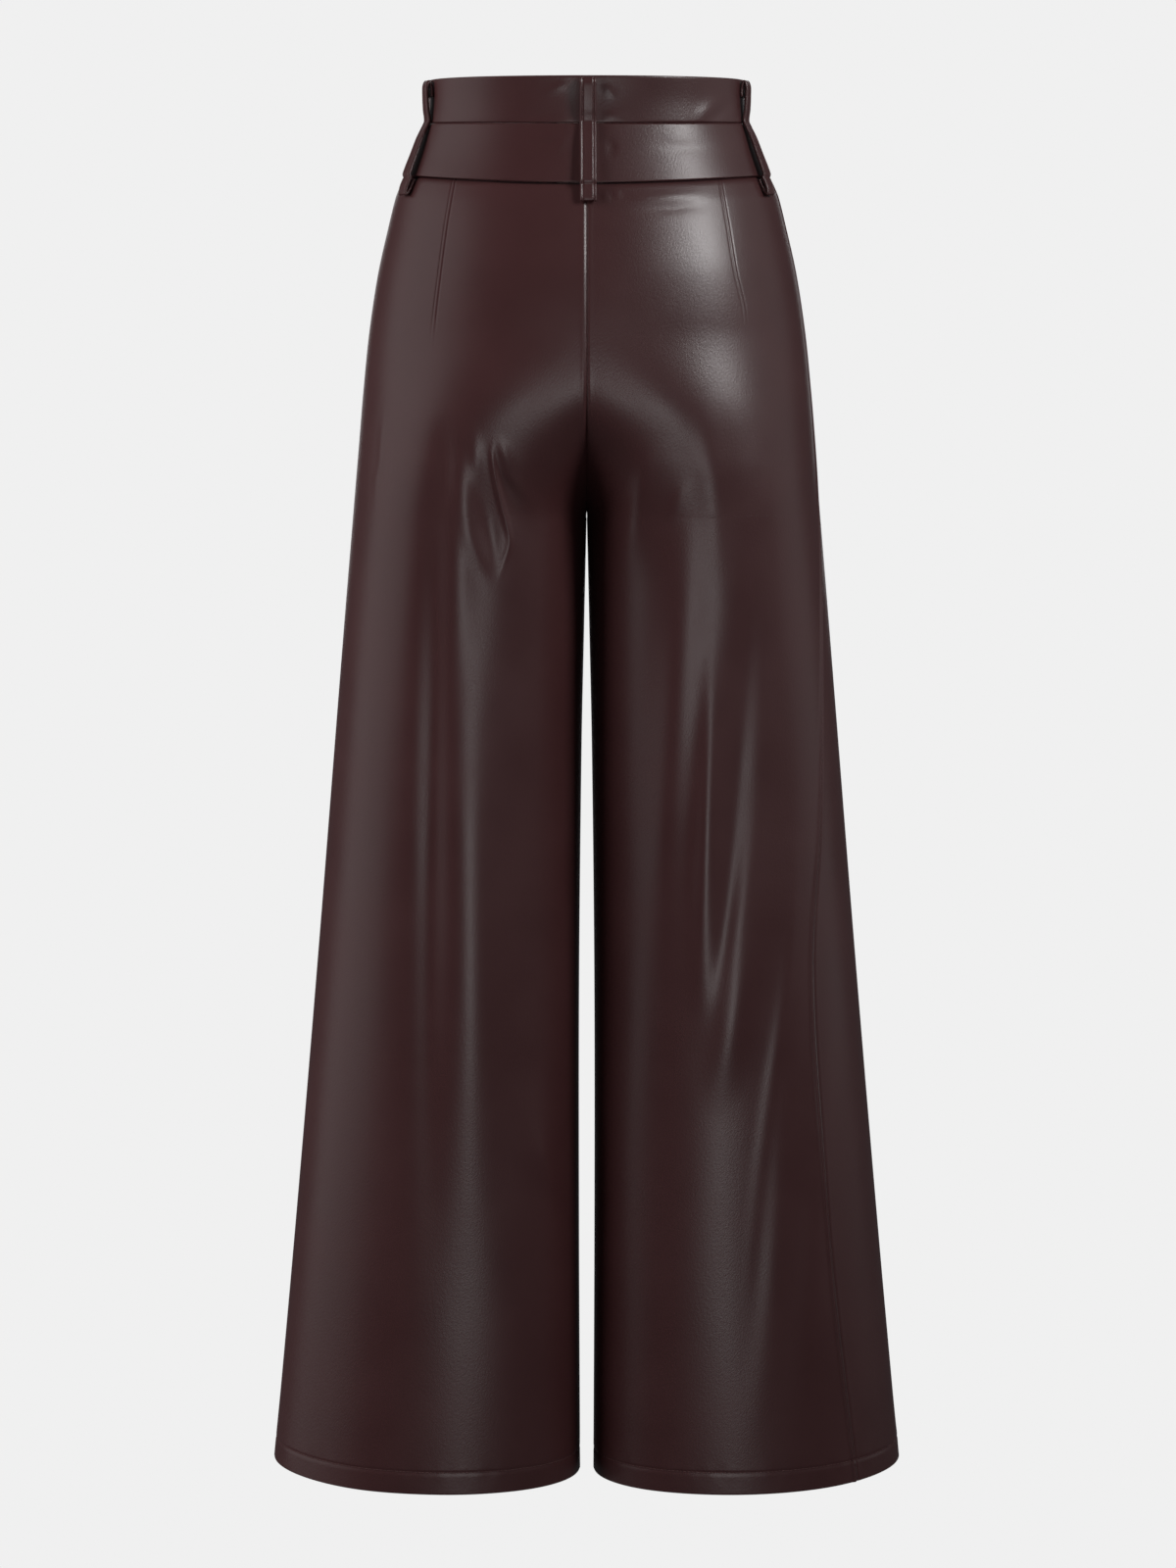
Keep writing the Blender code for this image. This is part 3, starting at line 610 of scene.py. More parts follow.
def add_shell(name, outer, inner, cloth_u, cloth_v, outside, inside):
    """A closed wall of cloth through a grid of outer and inner points, with a rim all round."""
    rows, columns = outer.shape[:2]
    count = rows * columns
    corner = (np.arange(rows - 1)[:, None] * columns + np.arange(columns - 1)[None, :]).ravel()
    skin = np.stack([corner, corner + columns, corner + columns + 1, corner + 1], 1)
    back = skin[:, ::-1] + count
    edge = np.concatenate([
        np.arange(rows) * columns,
        (rows - 1) * columns + np.arange(1, columns),
        np.arange(rows - 2, -1, -1) * columns + columns - 1,
        np.arange(columns - 2, 0, -1)])
    follow = np.roll(edge, -1)
    rim = np.stack([follow, edge, edge + count, follow + count], 1)
    faces = np.concatenate([skin, back, rim])
    mesh = bpy.data.meshes.new(name)
    mesh.from_pydata(np.concatenate([outer.reshape(-1, 3), inner.reshape(-1, 3)]).tolist(), [],
                     faces.tolist())
    mesh.materials.append(outside)
    mesh.materials.append(inside)
    finish = np.zeros(len(faces), np.int32)
    finish[len(skin):len(skin) + len(back)] = 1
    mesh.polygons.foreach_set("material_index", finish)
    flat = np.stack([np.broadcast_to(cloth_u, (rows, columns)).ravel(),
                     np.broadcast_to(cloth_v, (rows, columns)).ravel()], 1)
    flat = np.concatenate([flat, flat])
    layer = mesh.uv_layers.new(name="cloth")
    layer.data.foreach_set("uv", flat[faces.ravel()].astype(np.float32).ravel())
    return add_piece(name, mesh)


def stepped(stretches):
    """Levels down a piece: each stretch has a start, an end and a spacing."""
    levels = []
    for start, end, spacing in stretches:
        count = max(1, round((start - end) / spacing))
        levels += [start + (end - start) * i / count for i in range(count)]
    return np.array(levels + [stretches[-1][1]])


PANEL_STRETCHES = [
    (BAND_FOOT - SEAM_GAP, -0.062, 0.0018),
    (-0.062, -0.205, 0.0030),
    (-0.205, -0.360, 0.0021),
    (-0.360, -1.0060, 0.0044),
    (-1.0060, -1.0270, 0.0012),
    (-1.0270, HEM_LEVEL, 0.0004),
]
HEM_ROUND = 0.0012
HEM_SWEEP = 0.0032
HEM_SWEEP_DEPTH = 0.060
HEM_LINE_DIP = 0.0005
HEM_LINE_WIDTH = 0.0010
HEM_PUCKER = 0.00022
HEM_PUCKER_WIDTH = 0.0060
TURNED_UP_END = 0.0030
TURNED_UP_STEP = 0.0008
CLOTH_RIPPLE = 0.00045
SEAM_DIP = 0.0008
SEAM_DIP_WIDTH = 0.0011
SEAM_RIDGE_PLACE = 0.0026
SEAM_RIDGE_WIDTH = 0.0014
TUCK_DEPTH = 0.0013
TUCK_WIDTH = 0.0017
CENTRE_SEAM_REACH = 0.004

# Where the columns of a back panel gather for its fine form: along the dart, then the sharpest fold
LineRow = namedtuple("LineRow", "level across weight")
FINE_LINES = {
    LEFT: [LineRow(-0.0358, 0.0975, 1.0), LineRow(-0.135, 0.111, 1.0), LineRow(-0.185, 0.100, 0.3),
           LineRow(-0.224, 0.067, 0.8), LineRow(-0.260, 0.066, 0.9), LineRow(-0.300, 0.058, 0.9),
           LineRow(-0.338, 0.067, 0.8), LineRow(-0.380, 0.075, 0.3),
           LineRow(-0.600, 0.087, 0.2), LineRow(HEM_LEVEL, 0.090, 0.0)],
    RIGHT: [LineRow(-0.0358, 0.098, 1.0), LineRow(-0.134, 0.1156, 1.0), LineRow(-0.200, 0.108, 0.3),
            LineRow(-0.340, 0.097, 0.5), LineRow(-0.450, 0.091, 0.6), LineRow(-0.690, 0.095, 0.5),
            LineRow(-0.860, 0.115, 0.2), LineRow(HEM_LEVEL, 0.120, 0.0)],
}


def gathered_shares(level, across, line, count):
    """Column places from 0 to 1 for each row, closer together at both seams and the fine line."""
    coarse = np.linspace(0.0, 1.0, across.shape[1])
    edge = np.exp(-(coarse / 0.016) ** 2) + np.exp(-((1.0 - coarse) / 0.016) ** 2)
    shares = []
    for j in range(len(level)):
        dense = 1.0 + 3.0 * edge
        if line is not None:
            dense = dense + 7.0 * line.weight[j] * np.exp(-((across[j] - line.across[j]) / 0.005) ** 2)
        gone = np.concatenate([[0.0], np.cumsum((dense[1:] + dense[:-1]) / 2.0)])
        shares.append(np.interp(np.linspace(0.0, gone[-1], count + 1), gone, coarse))
    return np.array(shares)


def make_panel(side, behind, columns, seam_ridge):
    """One leg's front or back. seam_ridge gives the ridge beside the outseam and the inner seam."""
    name = ("back" if behind else "front") + "_panel_" + ("left" if side == LEFT else "right")
    levels = stepped(PANEL_STRETCHES)
    row = read_table(BODY, levels)
    way = 1.0 if behind else -1.0
    swing = np.zeros_like(levels)
    if side == RIGHT:
        swing = np.radians(read_table(OUTSEAM_SWING, levels).swing)
    depth = np.where((swing != 0.0) | behind, row.back_depth, row.front_depth)
    outseam = angle_beside(depth, row.squareness, swing, -way * SEAM_LAP)
    _, centre, reach = leg_section(levels)
    inseam = way * np.arccos(np.clip((-SEAM_LAP - centre) / reach, -1.0, 1.0))

    coarse = np.linspace(0.0, 1.0, 401)[None, :]
    plain, _, _, _ = leg_points(side, levels[:, None] + 0.0 * coarse,
                                outseam[:, None] + (inseam - outseam)[:, None] * coarse)
    line = read_table(FINE_LINES[side], levels) if behind else None
    shares = gathered_shares(levels, plain[..., 0], line, columns)
    level = levels[:, None] + 0.0 * shares
    angle = outseam[:, None] + (inseam - outseam)[:, None] * shares
    plain, out, calm, back = leg_points(side, level, angle)
    near_hem = smooth_step((HEM_LEVEL + HEM_SWEEP_DEPTH - level) / HEM_SWEEP_DEPTH)
    plain[..., 2] += HEM_SWEEP * near_hem * np.maximum(np.cos(angle), 0.0) ** 3
    steps = np.linalg.norm(np.diff(plain, axis=1), axis=-1)
    gone = np.concatenate([np.zeros((len(levels), 1)), np.cumsum(steps, axis=1)], axis=1)
    left_over = gone[:, -1:] - gone

    across = plain[..., 0]
    rise = np.where(back, crease_rise(CREASES[side, True], across, level),
                    crease_rise(CREASES[side, False], across, level)) * calm
    rise = rise + CLOTH_RIPPLE * slow_ripple(across * 46.0, level * 19.0, 1.0 + side + way) * calm
    followed = rise
    if behind:
        offset, along = beside_route(DARTS[side], across, level)
        fade = smooth_step((1.0 - along) * 4.0)
        for groove in (-DART_GROOVE, DART_GROOVE):
            rise = rise - DART_DEPTH * fade * np.exp(-((offset - groove) / DART_HALF_WIDTH) ** 2)
        rise = rise + DART_RIDGE * fade * np.exp(-(offset / DART_GROOVE) ** 2)
        rise = rise + crease_rise(BAND_ROLL, side * across, level)
    for distance, ridge in ((gone, seam_ridge[0]), (left_over, seam_ridge[1])):
        rise = rise - SEAM_DIP * np.exp(-(distance / SEAM_DIP_WIDTH) ** 2)
        rise = rise + ridge * np.exp(-((distance - SEAM_RIDGE_PLACE) / SEAM_RIDGE_WIDTH) ** 2)
    tucked = (BAND_FOOT - SEAM_GAP - level) / TUCK_WIDTH
    rise = rise - TUCK_DEPTH * np.exp(-tucked ** 2)
    above_hem = level - HEM_LEVEL
    stitch_line = above_hem - HEM_DEPTH
    rise = rise - HEM_LINE_DIP * np.exp(-(stitch_line / HEM_LINE_WIDTH) ** 2)
    pucker = slow_ripple(gone * 310.0, level * 40.0, 5.0 + side)
    rise = rise + HEM_PUCKER * (pucker * np.exp(-(stitch_line / HEM_PUCKER_WIDTH) ** 2))
    edge_round = np.clip(1.0 - above_hem / HEM_ROUND, 0.0, 1.0)
    edge_round = HEM_ROUND * (1.0 - np.sqrt(1.0 - edge_round ** 2))

    square = grid_normals(plain)
    square *= np.sign(np.sum(square * out, axis=-1, keepdims=True))
    apart = 1.0 - np.exp(-(across / CENTRE_SEAM_REACH) ** 2) * (level > CROTCH_LEVEL)
    out[..., 0] *= apart
    square[..., 0] *= apart
    outer = plain + out * (rise - edge_round)[..., None]
    thick = CLOTH + CLOTH * smooth_step((HEM_DEPTH + TURNED_UP_END - above_hem) / TURNED_UP_STEP)
    inner = plain + out * followed[..., None] - square * (thick - edge_round)[..., None]
    mirror = np.array([side, 1.0, 1.0])
    panel_skins[name] = (levels, outer * mirror, out * mirror)
    return add_shell(name + "_cloth", outer * mirror, inner * mirror,
                     side * (gone - gone[:, -1:] / 2.0), level, leather_skin, knit_backing)


PanelCut = namedtuple("PanelCut", "side behind columns outseam_ridge inner_ridge width length area")
PANEL_CUTS = [
    PanelCut(LEFT, True, 144, 0.0002, 0.00025, 0.350, 1.010, 0.300),
    PanelCut(RIGHT, True, 136, 0.0010, 0.0002, 0.300, 1.010, 0.260),
    PanelCut(LEFT, False, 96, 0.0002, 0.0002, 0.340, 1.000, 0.285),
    PanelCut(RIGHT, False, 110, 0.0002, 0.0002, 0.400, 1.000, 0.320),
]
panel_skins = {}
for cut in PANEL_CUTS:
    panel = make_panel(cut.side, cut.behind, cut.columns, (cut.outseam_ridge, cut.inner_ridge))
    node = panel.name.replace("_cloth", "")
    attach(panel, "root")
    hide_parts(node)

# ---------------------------------------------------------------------------------------------
# The waistband, in two tiers of doubled faux leather with interlining: an upright upper tier and a
# flared lower one, each a back and two fronts. They are seamed together at the waist line, and the
# lower one to the panels, where its folded edge stands a little proud.
# ---------------------------------------------------------------------------------------------
BAND_WALL = 0.0024
BAND_TOP = 0.0350
WAIST_SEAM = 0.0028
WAIST_SQUARENESS = 2.15
TierRow = namedtuple("TierRow", "level half_width back_depth front_depth back_dip front_dip")
UPPER_TIER = [
    TierRow(BAND_TOP, 0.1184, 0.0905, 0.0868, 0.0000, 0.0040),
    TierRow(0.0190, 0.1186, 0.0890, 0.0855, 0.0012, 0.0035),
    TierRow(WAIST_SEAM, 0.1208, 0.0886, 0.0850, 0.0023, 0.0030),
]
LOWER_TIER = [
    TierRow(WAIST_SEAM, 0.1212, 0.0891, 0.0855, 0.0023, 0.0030),
    TierRow(-0.0170, 0.1290, 0.0935, 0.0887, 0.0050, 0.0045),
    TierRow(BAND_FOOT, 0.1376, 0.0985, 0.0925, 0.0071, 0.0060),
]
# Creases by the distance across the body, positive at the wearer's left
BAND_CREASES = {
    ("upper", True): [
        Crease(((-0.078, 0.0020), (-0.088, 0.0120), (-0.101, 0.0240)), 0.0050, 0.0009, 0.45),
        Crease(((-0.088, 0.0010), (-0.100, 0.0130), (-0.110, 0.0230)), 0.0045, -0.0008, 0.45),
        Crease(((0.012, 0.0320), (0.024, 0.0270), (0.034, 0.0240)), 0.0030, 0.0005, 0.40),
        Crease(((-0.011, 0.0310), (-0.018, 0.0240), (-0.024, 0.0200)), 0.0030, 0.0006, 0.40),
        Crease(((-0.010, 0.0060), (-0.022, 0.0080), (-0.034, 0.0060)), 0.0032, 0.0005, 0.40),
        Crease(((0.060, 0.0040), (0.030, 0.0080), (0.012, 0.0060)), 0.0060, -0.0005, 0.50),
    ],
    ("lower", True): [
        Crease(((0.012, -0.0060), (0.020, -0.0140), (0.024, -0.0240)), 0.0034, 0.0006, 0.45),
        Crease(((0.015, -0.0040), (0.034, -0.0090), (0.044, -0.0150)), 0.0030, 0.0004, 0.45),
        Crease(((-0.012, -0.0080), (-0.018, -0.0150), (-0.014, -0.0260)), 0.0036, -0.0006, 0.45),
        Crease(((-0.040, -0.0130), (-0.075, -0.0150), (-0.102, -0.0130)), 0.0050, -0.0005, 0.50),
    ],
    ("upper", False): [
        Crease(((0.066, 0.0280), (0.074, 0.0180), (0.080, 0.0080)), 0.0040, 0.0006, 0.45),
        Crease(((-0.064, 0.0240), (-0.074, 0.0150), (-0.082, 0.0070)), 0.0040, 0.0006, 0.45),
    ],
    ("lower", False): [
        Crease(((0.030, -0.0100), (0.052, -0.0160), (0.070, -0.0180)), 0.0045, -0.0005, 0.45),
        Crease(((-0.028, -0.0120), (-0.050, -0.0150), (-0.072, -0.0200)), 0.0045, -0.0005, 0.45),
    ],
}
FOLD_ROUND = 0.0011
BAND_RIPPLE = 0.00030
BESIDE_LOOP_DIP = 0.0004
BESIDE_LOOP_PLACE = 0.0085
BESIDE_LOOP_WIDTH = 0.0045


def tier_points(rows, level, angle):
    row = read_table(rows, level)
    return section_points(row, level, angle, 0.0, row.half_width, WAIST_SQUARENESS)


def rounded(distance):
    """How far a folded edge has turned in, by the distance from its end."""
    share = np.clip(1.0 - distance / FOLD_ROUND, 0.0, 1.0)
    return FOLD_ROUND * (1.0 - np.sqrt(1.0 - share ** 2))


def make_tier(name, rows, tier, top, foot, first_angle, last_angle, columns):
    edge = (0.0, 0.00008, 0.0003, 0.0007, 0.0012)
    middle = np.linspace(0.0022, top - foot - 0.0022, 24)
    down = np.concatenate([edge, middle, [top - foot - step for step in reversed(edge)]])
    levels = top - down
    row = read_table(rows, levels)
    side_clear = angle_beside(row.back_depth, WAIST_SQUARENESS, np.zeros_like(levels), SEAM_GAP / 2.0)
    front_clear = SEAM_GAP / 2.0 / row.half_width
    first = math.radians(first_angle) + (front_clear if first_angle == -90.0 else side_clear)
    last = math.radians(last_angle) - (front_clear if last_angle == 270.0 else side_clear)
    shares = np.linspace(0.0, 1.0, columns + 1)[None, :]
    angle = first[:, None] + (last - first)[:, None] * shares
    level = levels[:, None] + 0.0 * shares
    plain, out = tier_points(rows, level, angle)
    behind = first_angle == 0.0
    across = plain[..., 0]
    rise = crease_rise(BAND_CREASES[tier, behind], across, plain[..., 2] + 0.002)
    seed = 2.0 if tier == "upper" else 4.0
    rise = rise + BAND_RIPPLE * slow_ripple(across * 75.0, level * 50.0, seed)
    if behind:
        beside_loop = np.exp(-(np.abs(across) - BESIDE_LOOP_PLACE) ** 2 / BESIDE_LOOP_WIDTH ** 2)
        rise = rise - BESIDE_LOOP_DIP * beside_loop
    turned = rounded(top - level) + rounded(level - foot)
    gone = np.concatenate([np.zeros((len(levels), 1)),
                           np.cumsum(np.linalg.norm(np.diff(plain, axis=1), axis=-1), axis=1)], axis=1)
    outer = plain + out * (rise - turned)[..., None]
    inner = plain - out * (BAND_WALL - turned)[..., None]
    return add_shell(name + "_cloth", outer, inner, gone - gone[:, -1:] / 2.0, level,
                     leather_skin, leather_skin)


TierCut = namedtuple("TierCut", "tier rows top foot part first last columns width deep")
UPPER_SPAN = (UPPER_TIER, BAND_TOP, WAIST_SEAM + SEAM_GAP / 2.0)
LOWER_SPAN = (LOWER_TIER, WAIST_SEAM - SEAM_GAP / 2.0, BAND_FOOT)
TIER_CUTS = [
    TierCut("upper", *UPPER_SPAN, "back", 0.0, 180.0, 230, 0.336, 0.0325),
    TierCut("upper", *UPPER_SPAN, "front_left", -90.0, 0.0, 110, 0.166, 0.0325),
    TierCut("upper", *UPPER_SPAN, "front_right", 180.0, 270.0, 110, 0.166, 0.0325),
    TierCut("lower", *LOWER_SPAN, "back", 0.0, 180.0, 230, 0.366, 0.0415),
    TierCut("lower", *LOWER_SPAN, "front_left", -90.0, 0.0, 110, 0.182, 0.0415),
    TierCut("lower", *LOWER_SPAN, "front_right", 180.0, 270.0, 110, 0.182, 0.0415),
]
for cut in TIER_CUTS:
    node = cut.tier + "_band_" + cut.part
    tier = make_tier(node, cut.rows, cut.tier, cut.top, cut.foot, cut.first, cut.last, cut.columns)
    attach(tier, "root")
    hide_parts(node)

# ---------------------------------------------------------------------------------------------
# The five belt loops: strips folded to 12 mm and stitched along both edges. Each is turned under
# at the top edge, caught down at the waist line seam, and hangs in a loop below the waistband
# before its end turns up behind it.
# ---------------------------------------------------------------------------------------------
LOOP_WIDTH = 0.0120
LOOP_WALL = 0.0022
LOOP_DROP = 0.0145
LOOP_STEPS = 210
EDGE_STITCH = 0.0040
loop_foot = BAND_FOOT - LOOP_DROP + LOOP_WALL / 2.0
loop_near = LOOP_WALL / 2.0 + SEAM_GAP
LoopKnot = namedtuple("LoopKnot", "stand_off level")
LOOP_ROUTE = [
    LoopKnot(loop_near, BAND_TOP - 0.0130),
    LoopKnot(loop_near, BAND_TOP - 0.0060),
    LoopKnot(loop_near + 0.0016, BAND_TOP - 0.0018),
    LoopKnot(loop_near + 0.0034, BAND_TOP - 0.0052),
    LoopKnot(loop_near + 0.0036, BAND_TOP - 0.0130),
    LoopKnot(loop_near + 0.0026, 0.0130),
    LoopKnot(loop_near + 0.0006, WAIST_SEAM + 0.0010),
    LoopKnot(loop_near + 0.0026, -0.0090),
    LoopKnot(loop_near + 0.0036, -0.0230),
    LoopKnot(loop_near + 0.0039, -0.0340),
    LoopKnot(loop_near + 0.0037, loop_foot + 0.0045),
    LoopKnot(loop_near + 0.0020, loop_foot),
    LoopKnot(loop_near + 0.0003, loop_foot + 0.0045),
    LoopKnot(loop_near + 0.0001, BAND_FOOT - 0.0030),
]

# Where each kind of loop lies, in degrees round the waist: the side ones slant, and the others are plumb
SlantRow = namedtuple("SlantRow", "level angle")
SIDE_SLANT = [
    SlantRow(BAND_TOP, 13.0),
    SlantRow(WAIST_SEAM, 15.0),
    SlantRow(BAND_FOOT, 20.0),
    SlantRow(BAND_FOOT - LOOP_DROP, 21.0),
]
BACK_PLUMB = [SlantRow(BAND_TOP, 90.5), SlantRow(BAND_FOOT, 90.5)]
FRONT_PLUMB = [SlantRow(BAND_TOP, -62.0), SlantRow(BAND_FOOT, -62.0)]


def cloth_surface(side, level, angle):
    """The outermost cloth at each level: a waistband tier, or the panels below it."""
    upper, _ = tier_points(UPPER_TIER, level, angle)
    lower, _ = tier_points(LOWER_TIER, level, angle)
    legs, _, _, _ = leg_points(side, level, angle)
    banded = np.where((level > WAIST_SEAM)[:, None], upper, lower)
    return np.where((level > BAND_FOOT)[:, None], banded, legs)


def loop_profile():
    """Half of the loop's section, across and thick: soft folded edges and two stitched grooves."""
    half = LOOP_WIDTH / 2.0
    turn = np.radians(np.linspace(0.0, 90.0, 6))
    edge_across = half - 0.0009 + 0.0009 * np.cos(turn)
    edge_thick = LOOP_WALL / 2.0 * np.sin(turn)
    flat = np.linspace(half - 0.0012, 0.0, 14)
    groove = np.exp(-((flat - EDGE_STITCH) / 0.0006) ** 2)
    dish = np.cos(flat / half * math.pi / 2.0) ** 2
    flat_thick = LOOP_WALL / 2.0 - 0.00042 * groove - 0.00015 * dish
    across = np.concatenate([edge_across, flat])
    thick = np.concatenate([edge_thick, flat_thick])
    across = np.concatenate([across, -across[-2::-1]])
    thick = np.concatenate([thick, thick[-2::-1]])
    return np.concatenate([across, across[-2:0:-1]]), np.concatenate([thick, -thick[-2:0:-1]])


def loop_frames(side, slant):
    """Middle points of a loop with the directions along its width and out of its face."""
    route = bend_through([tuple(knot) for knot in LOOP_ROUTE], LOOP_STEPS)
    stand_off, level = route[:, 0], route[:, 1]
    angle = np.radians(read_table(slant, level).angle)
    base = cloth_surface(side, level, angle)
    along = cloth_surface(side, level, angle + 0.01) - base
    along[:, 2] = 0.0
    along /= np.linalg.norm(along, axis=1, keepdims=True)
    outwards = np.stack([along[:, 1], -along[:, 0], np.zeros(len(along))], 1)
    middle = base + outwards * stand_off[:, None]
    for _ in range(3):
        middle[1:-1] = (middle[:-2] + 2.0 * middle[1:-1] + middle[2:]) / 4.0
    onward = np.gradient(middle, axis=0)
    onward /= np.linalg.norm(onward, axis=1, keepdims=True)
    wide = along - onward * np.sum(along * onward, axis=1, keepdims=True)
    wide /= np.linalg.norm(wide, axis=1, keepdims=True)
    face = np.cross(wide, onward)
    face /= np.linalg.norm(face, axis=1, keepdims=True)
    mirror = np.array([side, 1.0, 1.0])
    return middle * mirror, wide * mirror, face * mirror


def make_belt_loop(name, side, slant):
    middle, wide, face = loop_frames(side, slant)
    across, thick = loop_profile()
    crimp = 1.0 + 0.03 * np.sin(np.linspace(0.0, 61.0, len(middle)))[:, None, None]
    rings = (middle[:, None] + wide[:, None] * across[None, :, None]
             + face[:, None] * thick[None, :, None] * crimp)
    rows, columns = rings.shape[:2]
    corner = (np.arange(rows - 1)[:, None] * columns + np.arange(columns)[None, :])
    beside = np.arange(rows - 1)[:, None] * columns + (np.arange(columns)[None, :] + 1) % columns
    faces = np.stack([corner.ravel(), corner.ravel() + columns, beside.ravel() + columns,
                      beside.ravel()], 1).tolist()
    half = columns // 2
    for start in (0, (rows - 1) * columns):
        faces += [(start + i, start + i + 1, start + (columns - i - 1), start + (columns - i) % columns)
                  for i in range(1, half - 1)]
        faces.append((start, start + 1, start + columns - 1))
        faces.append((start + half - 1, start + half, start + half + 1))
    mesh = bpy.data.meshes.new(name)
    mesh.from_pydata(rings.reshape(-1, 3).tolist(), [], faces)
    mesh.materials.append(leather_skin)
    length = np.concatenate([[0.0], np.cumsum(np.linalg.norm(np.diff(middle, axis=0), axis=1))])
    flat = np.stack([np.broadcast_to(across + thick, (rows, columns)),
                     np.broadcast_to(length[:, None], (rows, columns))], -1).reshape(-1, 2)
    layer = mesh.uv_layers.new(name="cloth")
    corners = np.concatenate([np.array(face) for face in faces])
    layer.data.foreach_set("uv", flat[corners].astype(np.float32).ravel())
    return add_piece(name, mesh)


LoopPlace = namedtuple("LoopPlace", "name side slant")
LOOP_PLACES = [
    LoopPlace("loop_centre_back", LEFT, BACK_PLUMB),
    LoopPlace("loop_side_left", LEFT, SIDE_SLANT),
    LoopPlace("loop_side_right", RIGHT, SIDE_SLANT),
    LoopPlace("loop_front_left", LEFT, FRONT_PLUMB),
    LoopPlace("loop_front_right", RIGHT, FRONT_PLUMB),
]
for place in LOOP_PLACES:
    strip = make_belt_loop(place.name + "_strip", place.side, place.slant)
    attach(strip, "root")
    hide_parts(place.name)

# ---------------------------------------------------------------------------------------------
# The fly shield: a plain strip of the backed cloth that hangs behind the centre front opening,
# from the top edge to the foot of the fly.
# ---------------------------------------------------------------------------------------------
shield_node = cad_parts["fly_shield"]
shield_mesh = shield_node.data.copy()
shield_work = bmesh.new()
shield_work.from_mesh(shield_mesh)
bmesh.ops.remove_doubles(shield_work, verts=shield_work.verts, dist=0.00001)
bmesh.ops.recalc_face_normals(shield_work, faces=shield_work.faces)
shield_uv = shield_work.loops.layers.uv.new("cloth")
for face in shield_work.faces:
    for corner in face.loops:
        corner[shield_uv].uv = (corner.vert.co.x, corner.vert.co.z)
shield_work.to_mesh(shield_mesh)
shield_work.free()
shield_mesh.materials.clear()
shield_mesh.materials.append(knit_backing)
fly_shield = bpy.data.objects.new("fly_shield_strip", shield_mesh)
scene.collection.objects.link(fly_shield)
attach(fly_shield, "root")
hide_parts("fly_shield")

# ---------------------------------------------------------------------------------------------
# The stitching, in burgundy thread: a row along both edges of each belt loop, a fine row down the
# top of the centre back seam, and the row that holds the turned-up hem.
# ---------------------------------------------------------------------------------------------
THREAD_DARK = (0.070, 0.030, 0.030, 1.0)
THREAD_LIGHT = (0.130, 0.062, 0.060, 1.0)
thread = bpy.data.materials.new("burgundy_thread")
thread.use_nodes = True
thread_tree = thread.node_tree
thread_shader = thread_tree.nodes["Principled BSDF"]
thread_shader.inputs["Roughness"].default_value = 0.55
thread_place = thread_tree.nodes.new("ShaderNodeTexCoord")
thread_twist = thread_tree.nodes.new("ShaderNodeTexNoise")
thread_twist.inputs["Scale"].default_value = 1400.0
thread_tree.links.new(thread_place.outputs["Object"], thread_twist.inputs["Vector"])
link_colour(thread_tree, thread_shader, thread_twist.outputs["Fac"], THREAD_DARK, THREAD_LIGHT)


def make_stitch_tree():
    """Stitches laid along the edges of a guide mesh, each a short closed rod of thread."""
    tree = bpy.data.node_groups.new("stitch_row", "GeometryNodeTree")
    tree.interface.new_socket("Guide", in_out="INPUT", socket_type="NodeSocketGeometry")
    for name, value in (("Pitch", 0.0028), ("Stitch length", 0.0021), ("Thread radius", 0.00022)):
        tree.interface.new_socket(name, in_out="INPUT", socket_type="NodeSocketFloat").default_value = value
    tree.interface.new_socket("Stitches", in_out="OUTPUT", socket_type="NodeSocketGeometry")
    add, link = tree.nodes.new, tree.links.new
    given, put = add("NodeGroupInput"), add("NodeGroupOutput")
    to_curve = add("GeometryNodeMeshToCurve")
    link(given.outputs["Guide"], to_curve.inputs["Mesh"])
    spaced = add("GeometryNodeResampleCurve")
    spaced.mode = "LENGTH"
    link(to_curve.outputs["Curve"], spaced.inputs["Curve"])
    link(given.outputs["Pitch"], spaced.inputs["Length"])
    to_points = add("GeometryNodeCurveToPoints")
    to_points.mode = "EVALUATED"
    link(spaced.outputs["Curve"], to_points.inputs["Curve"])
    rod = add("GeometryNodeMeshCylinder")
    rod.inputs["Vertices"].default_value = 6
    rod.inputs["Side Segments"].default_value = 3
    link(given.outputs["Thread radius"], rod.inputs["Radius"])
    link(given.outputs["Stitch length"], rod.inputs["Depth"])
    placed = add("GeometryNodeInstanceOnPoints")
    turned = add("FunctionNodeAlignEulerToVector")
    turned.axis = "Z"
    link(to_points.outputs["Tangent"], turned.inputs["Vector"])
    link(to_points.outputs["Points"], placed.inputs["Points"])
    link(rod.outputs["Mesh"], placed.inputs["Instance"])
    link(turned.outputs["Rotation"], placed.inputs["Rotation"])
    real = add("GeometryNodeRealizeInstances")
    link(placed.outputs["Instances"], real.inputs["Geometry"])
    coloured = add("GeometryNodeSetMaterial")
    coloured.inputs["Material"].default_value = thread
    link(real.outputs["Geometry"], coloured.inputs["Geometry"])
    link(coloured.outputs["Geometry"], put.inputs["Stitches"])
    return tree


stitch_tree = make_stitch_tree()


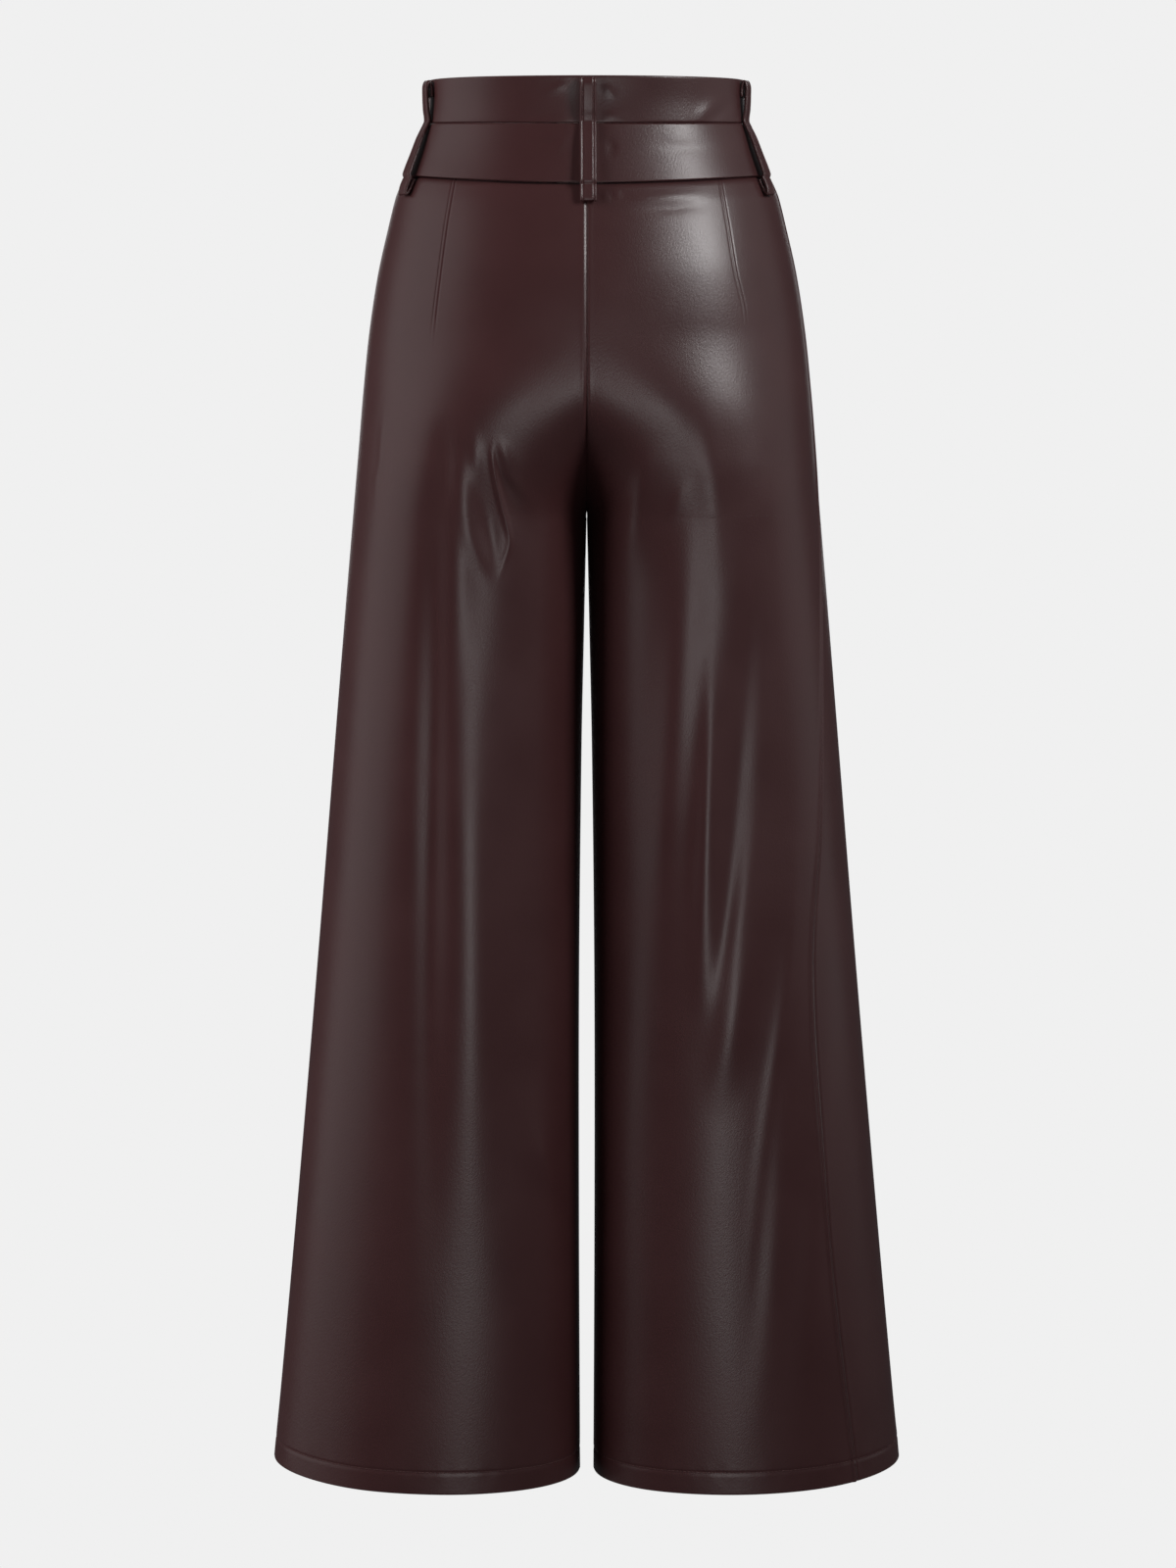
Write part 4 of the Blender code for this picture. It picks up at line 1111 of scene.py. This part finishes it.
def make_stitch_row(name, lines, pitch, length, radius):
    """Stitches along some lines of points, as one plain mesh."""
    points, edges = [], []
    for line in lines:
        first = len(points)
        points += [tuple(point) for point in line]
        edges += [(first + i, first + i + 1) for i in range(len(line) - 1)]
    guide = bpy.data.meshes.new(name + "_guide")
    guide.from_pydata(points, edges, [])
    holder = bpy.data.objects.new(name + "_guide", guide)
    scene.collection.objects.link(holder)
    sewn = holder.modifiers.new("stitches", "NODES")
    sewn.node_group = stitch_tree
    sizes = {"Pitch": pitch, "Stitch length": length, "Thread radius": radius}
    for item in stitch_tree.interface.items_tree:
        if item.in_out == "INPUT" and item.name in sizes:
            sewn[item.identifier] = sizes[item.name]
    ready = holder.evaluated_get(bpy.context.evaluated_depsgraph_get())
    mesh = bpy.data.meshes.new_from_object(ready)
    bpy.data.objects.remove(holder)
    mesh.name = name
    mesh.shade_smooth()
    stitches = bpy.data.objects.new(name, mesh)
    scene.collection.objects.link(stitches)
    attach(stitches, "root")
    return stitches


LOOP_THREAD_SINK = 0.00030
for place in LOOP_PLACES:
    middle, wide, face = loop_frames(place.side, place.slant)
    lift = LOOP_WALL / 2.0 - LOOP_THREAD_SINK
    rows = []
    for across in (-EDGE_STITCH, EDGE_STITCH):
        for way in (-1.0, 1.0):
            rows.append(middle + wide * across + face * (way * lift))
    make_stitch_row(place.name + "_stitches", rows, pitch=0.0026, length=0.0020, radius=0.00020)


HEM_THREAD_LIFT = 0.00010
SEAM_THREAD_LIFT = 0.00005
SEAM_STITCHES_TOP = -0.046
SEAM_STITCHES_FOOT = -0.092


def lifted_row(node, level):
    """Points along one row of a panel's skin, with the thread half sunk in it."""
    levels, skin, out = panel_skins[node]
    row = int(np.argmin(np.abs(levels - level)))
    return skin[row] + out[row] * HEM_THREAD_LIFT


hem_rows = [lifted_row(node, HEM_LEVEL + HEM_DEPTH) for node in panel_skins]
make_stitch_row("hem_stitches", hem_rows, pitch=0.0030, length=0.0023, radius=0.00017)

seam_levels, left_skin, _ = panel_skins["back_panel_left"]
_, right_skin, _ = panel_skins["back_panel_right"]
seam_rows = (seam_levels < SEAM_STITCHES_TOP) & (seam_levels > SEAM_STITCHES_FOOT)
seam_line = np.mean([left_skin[seam_rows, -1], right_skin[seam_rows, -1]], axis=0)
seam_line[:, 1] += SEAM_THREAD_LIFT
make_stitch_row("centre_back_stitches", [seam_line], pitch=0.0030, length=0.0017, radius=0.00015)
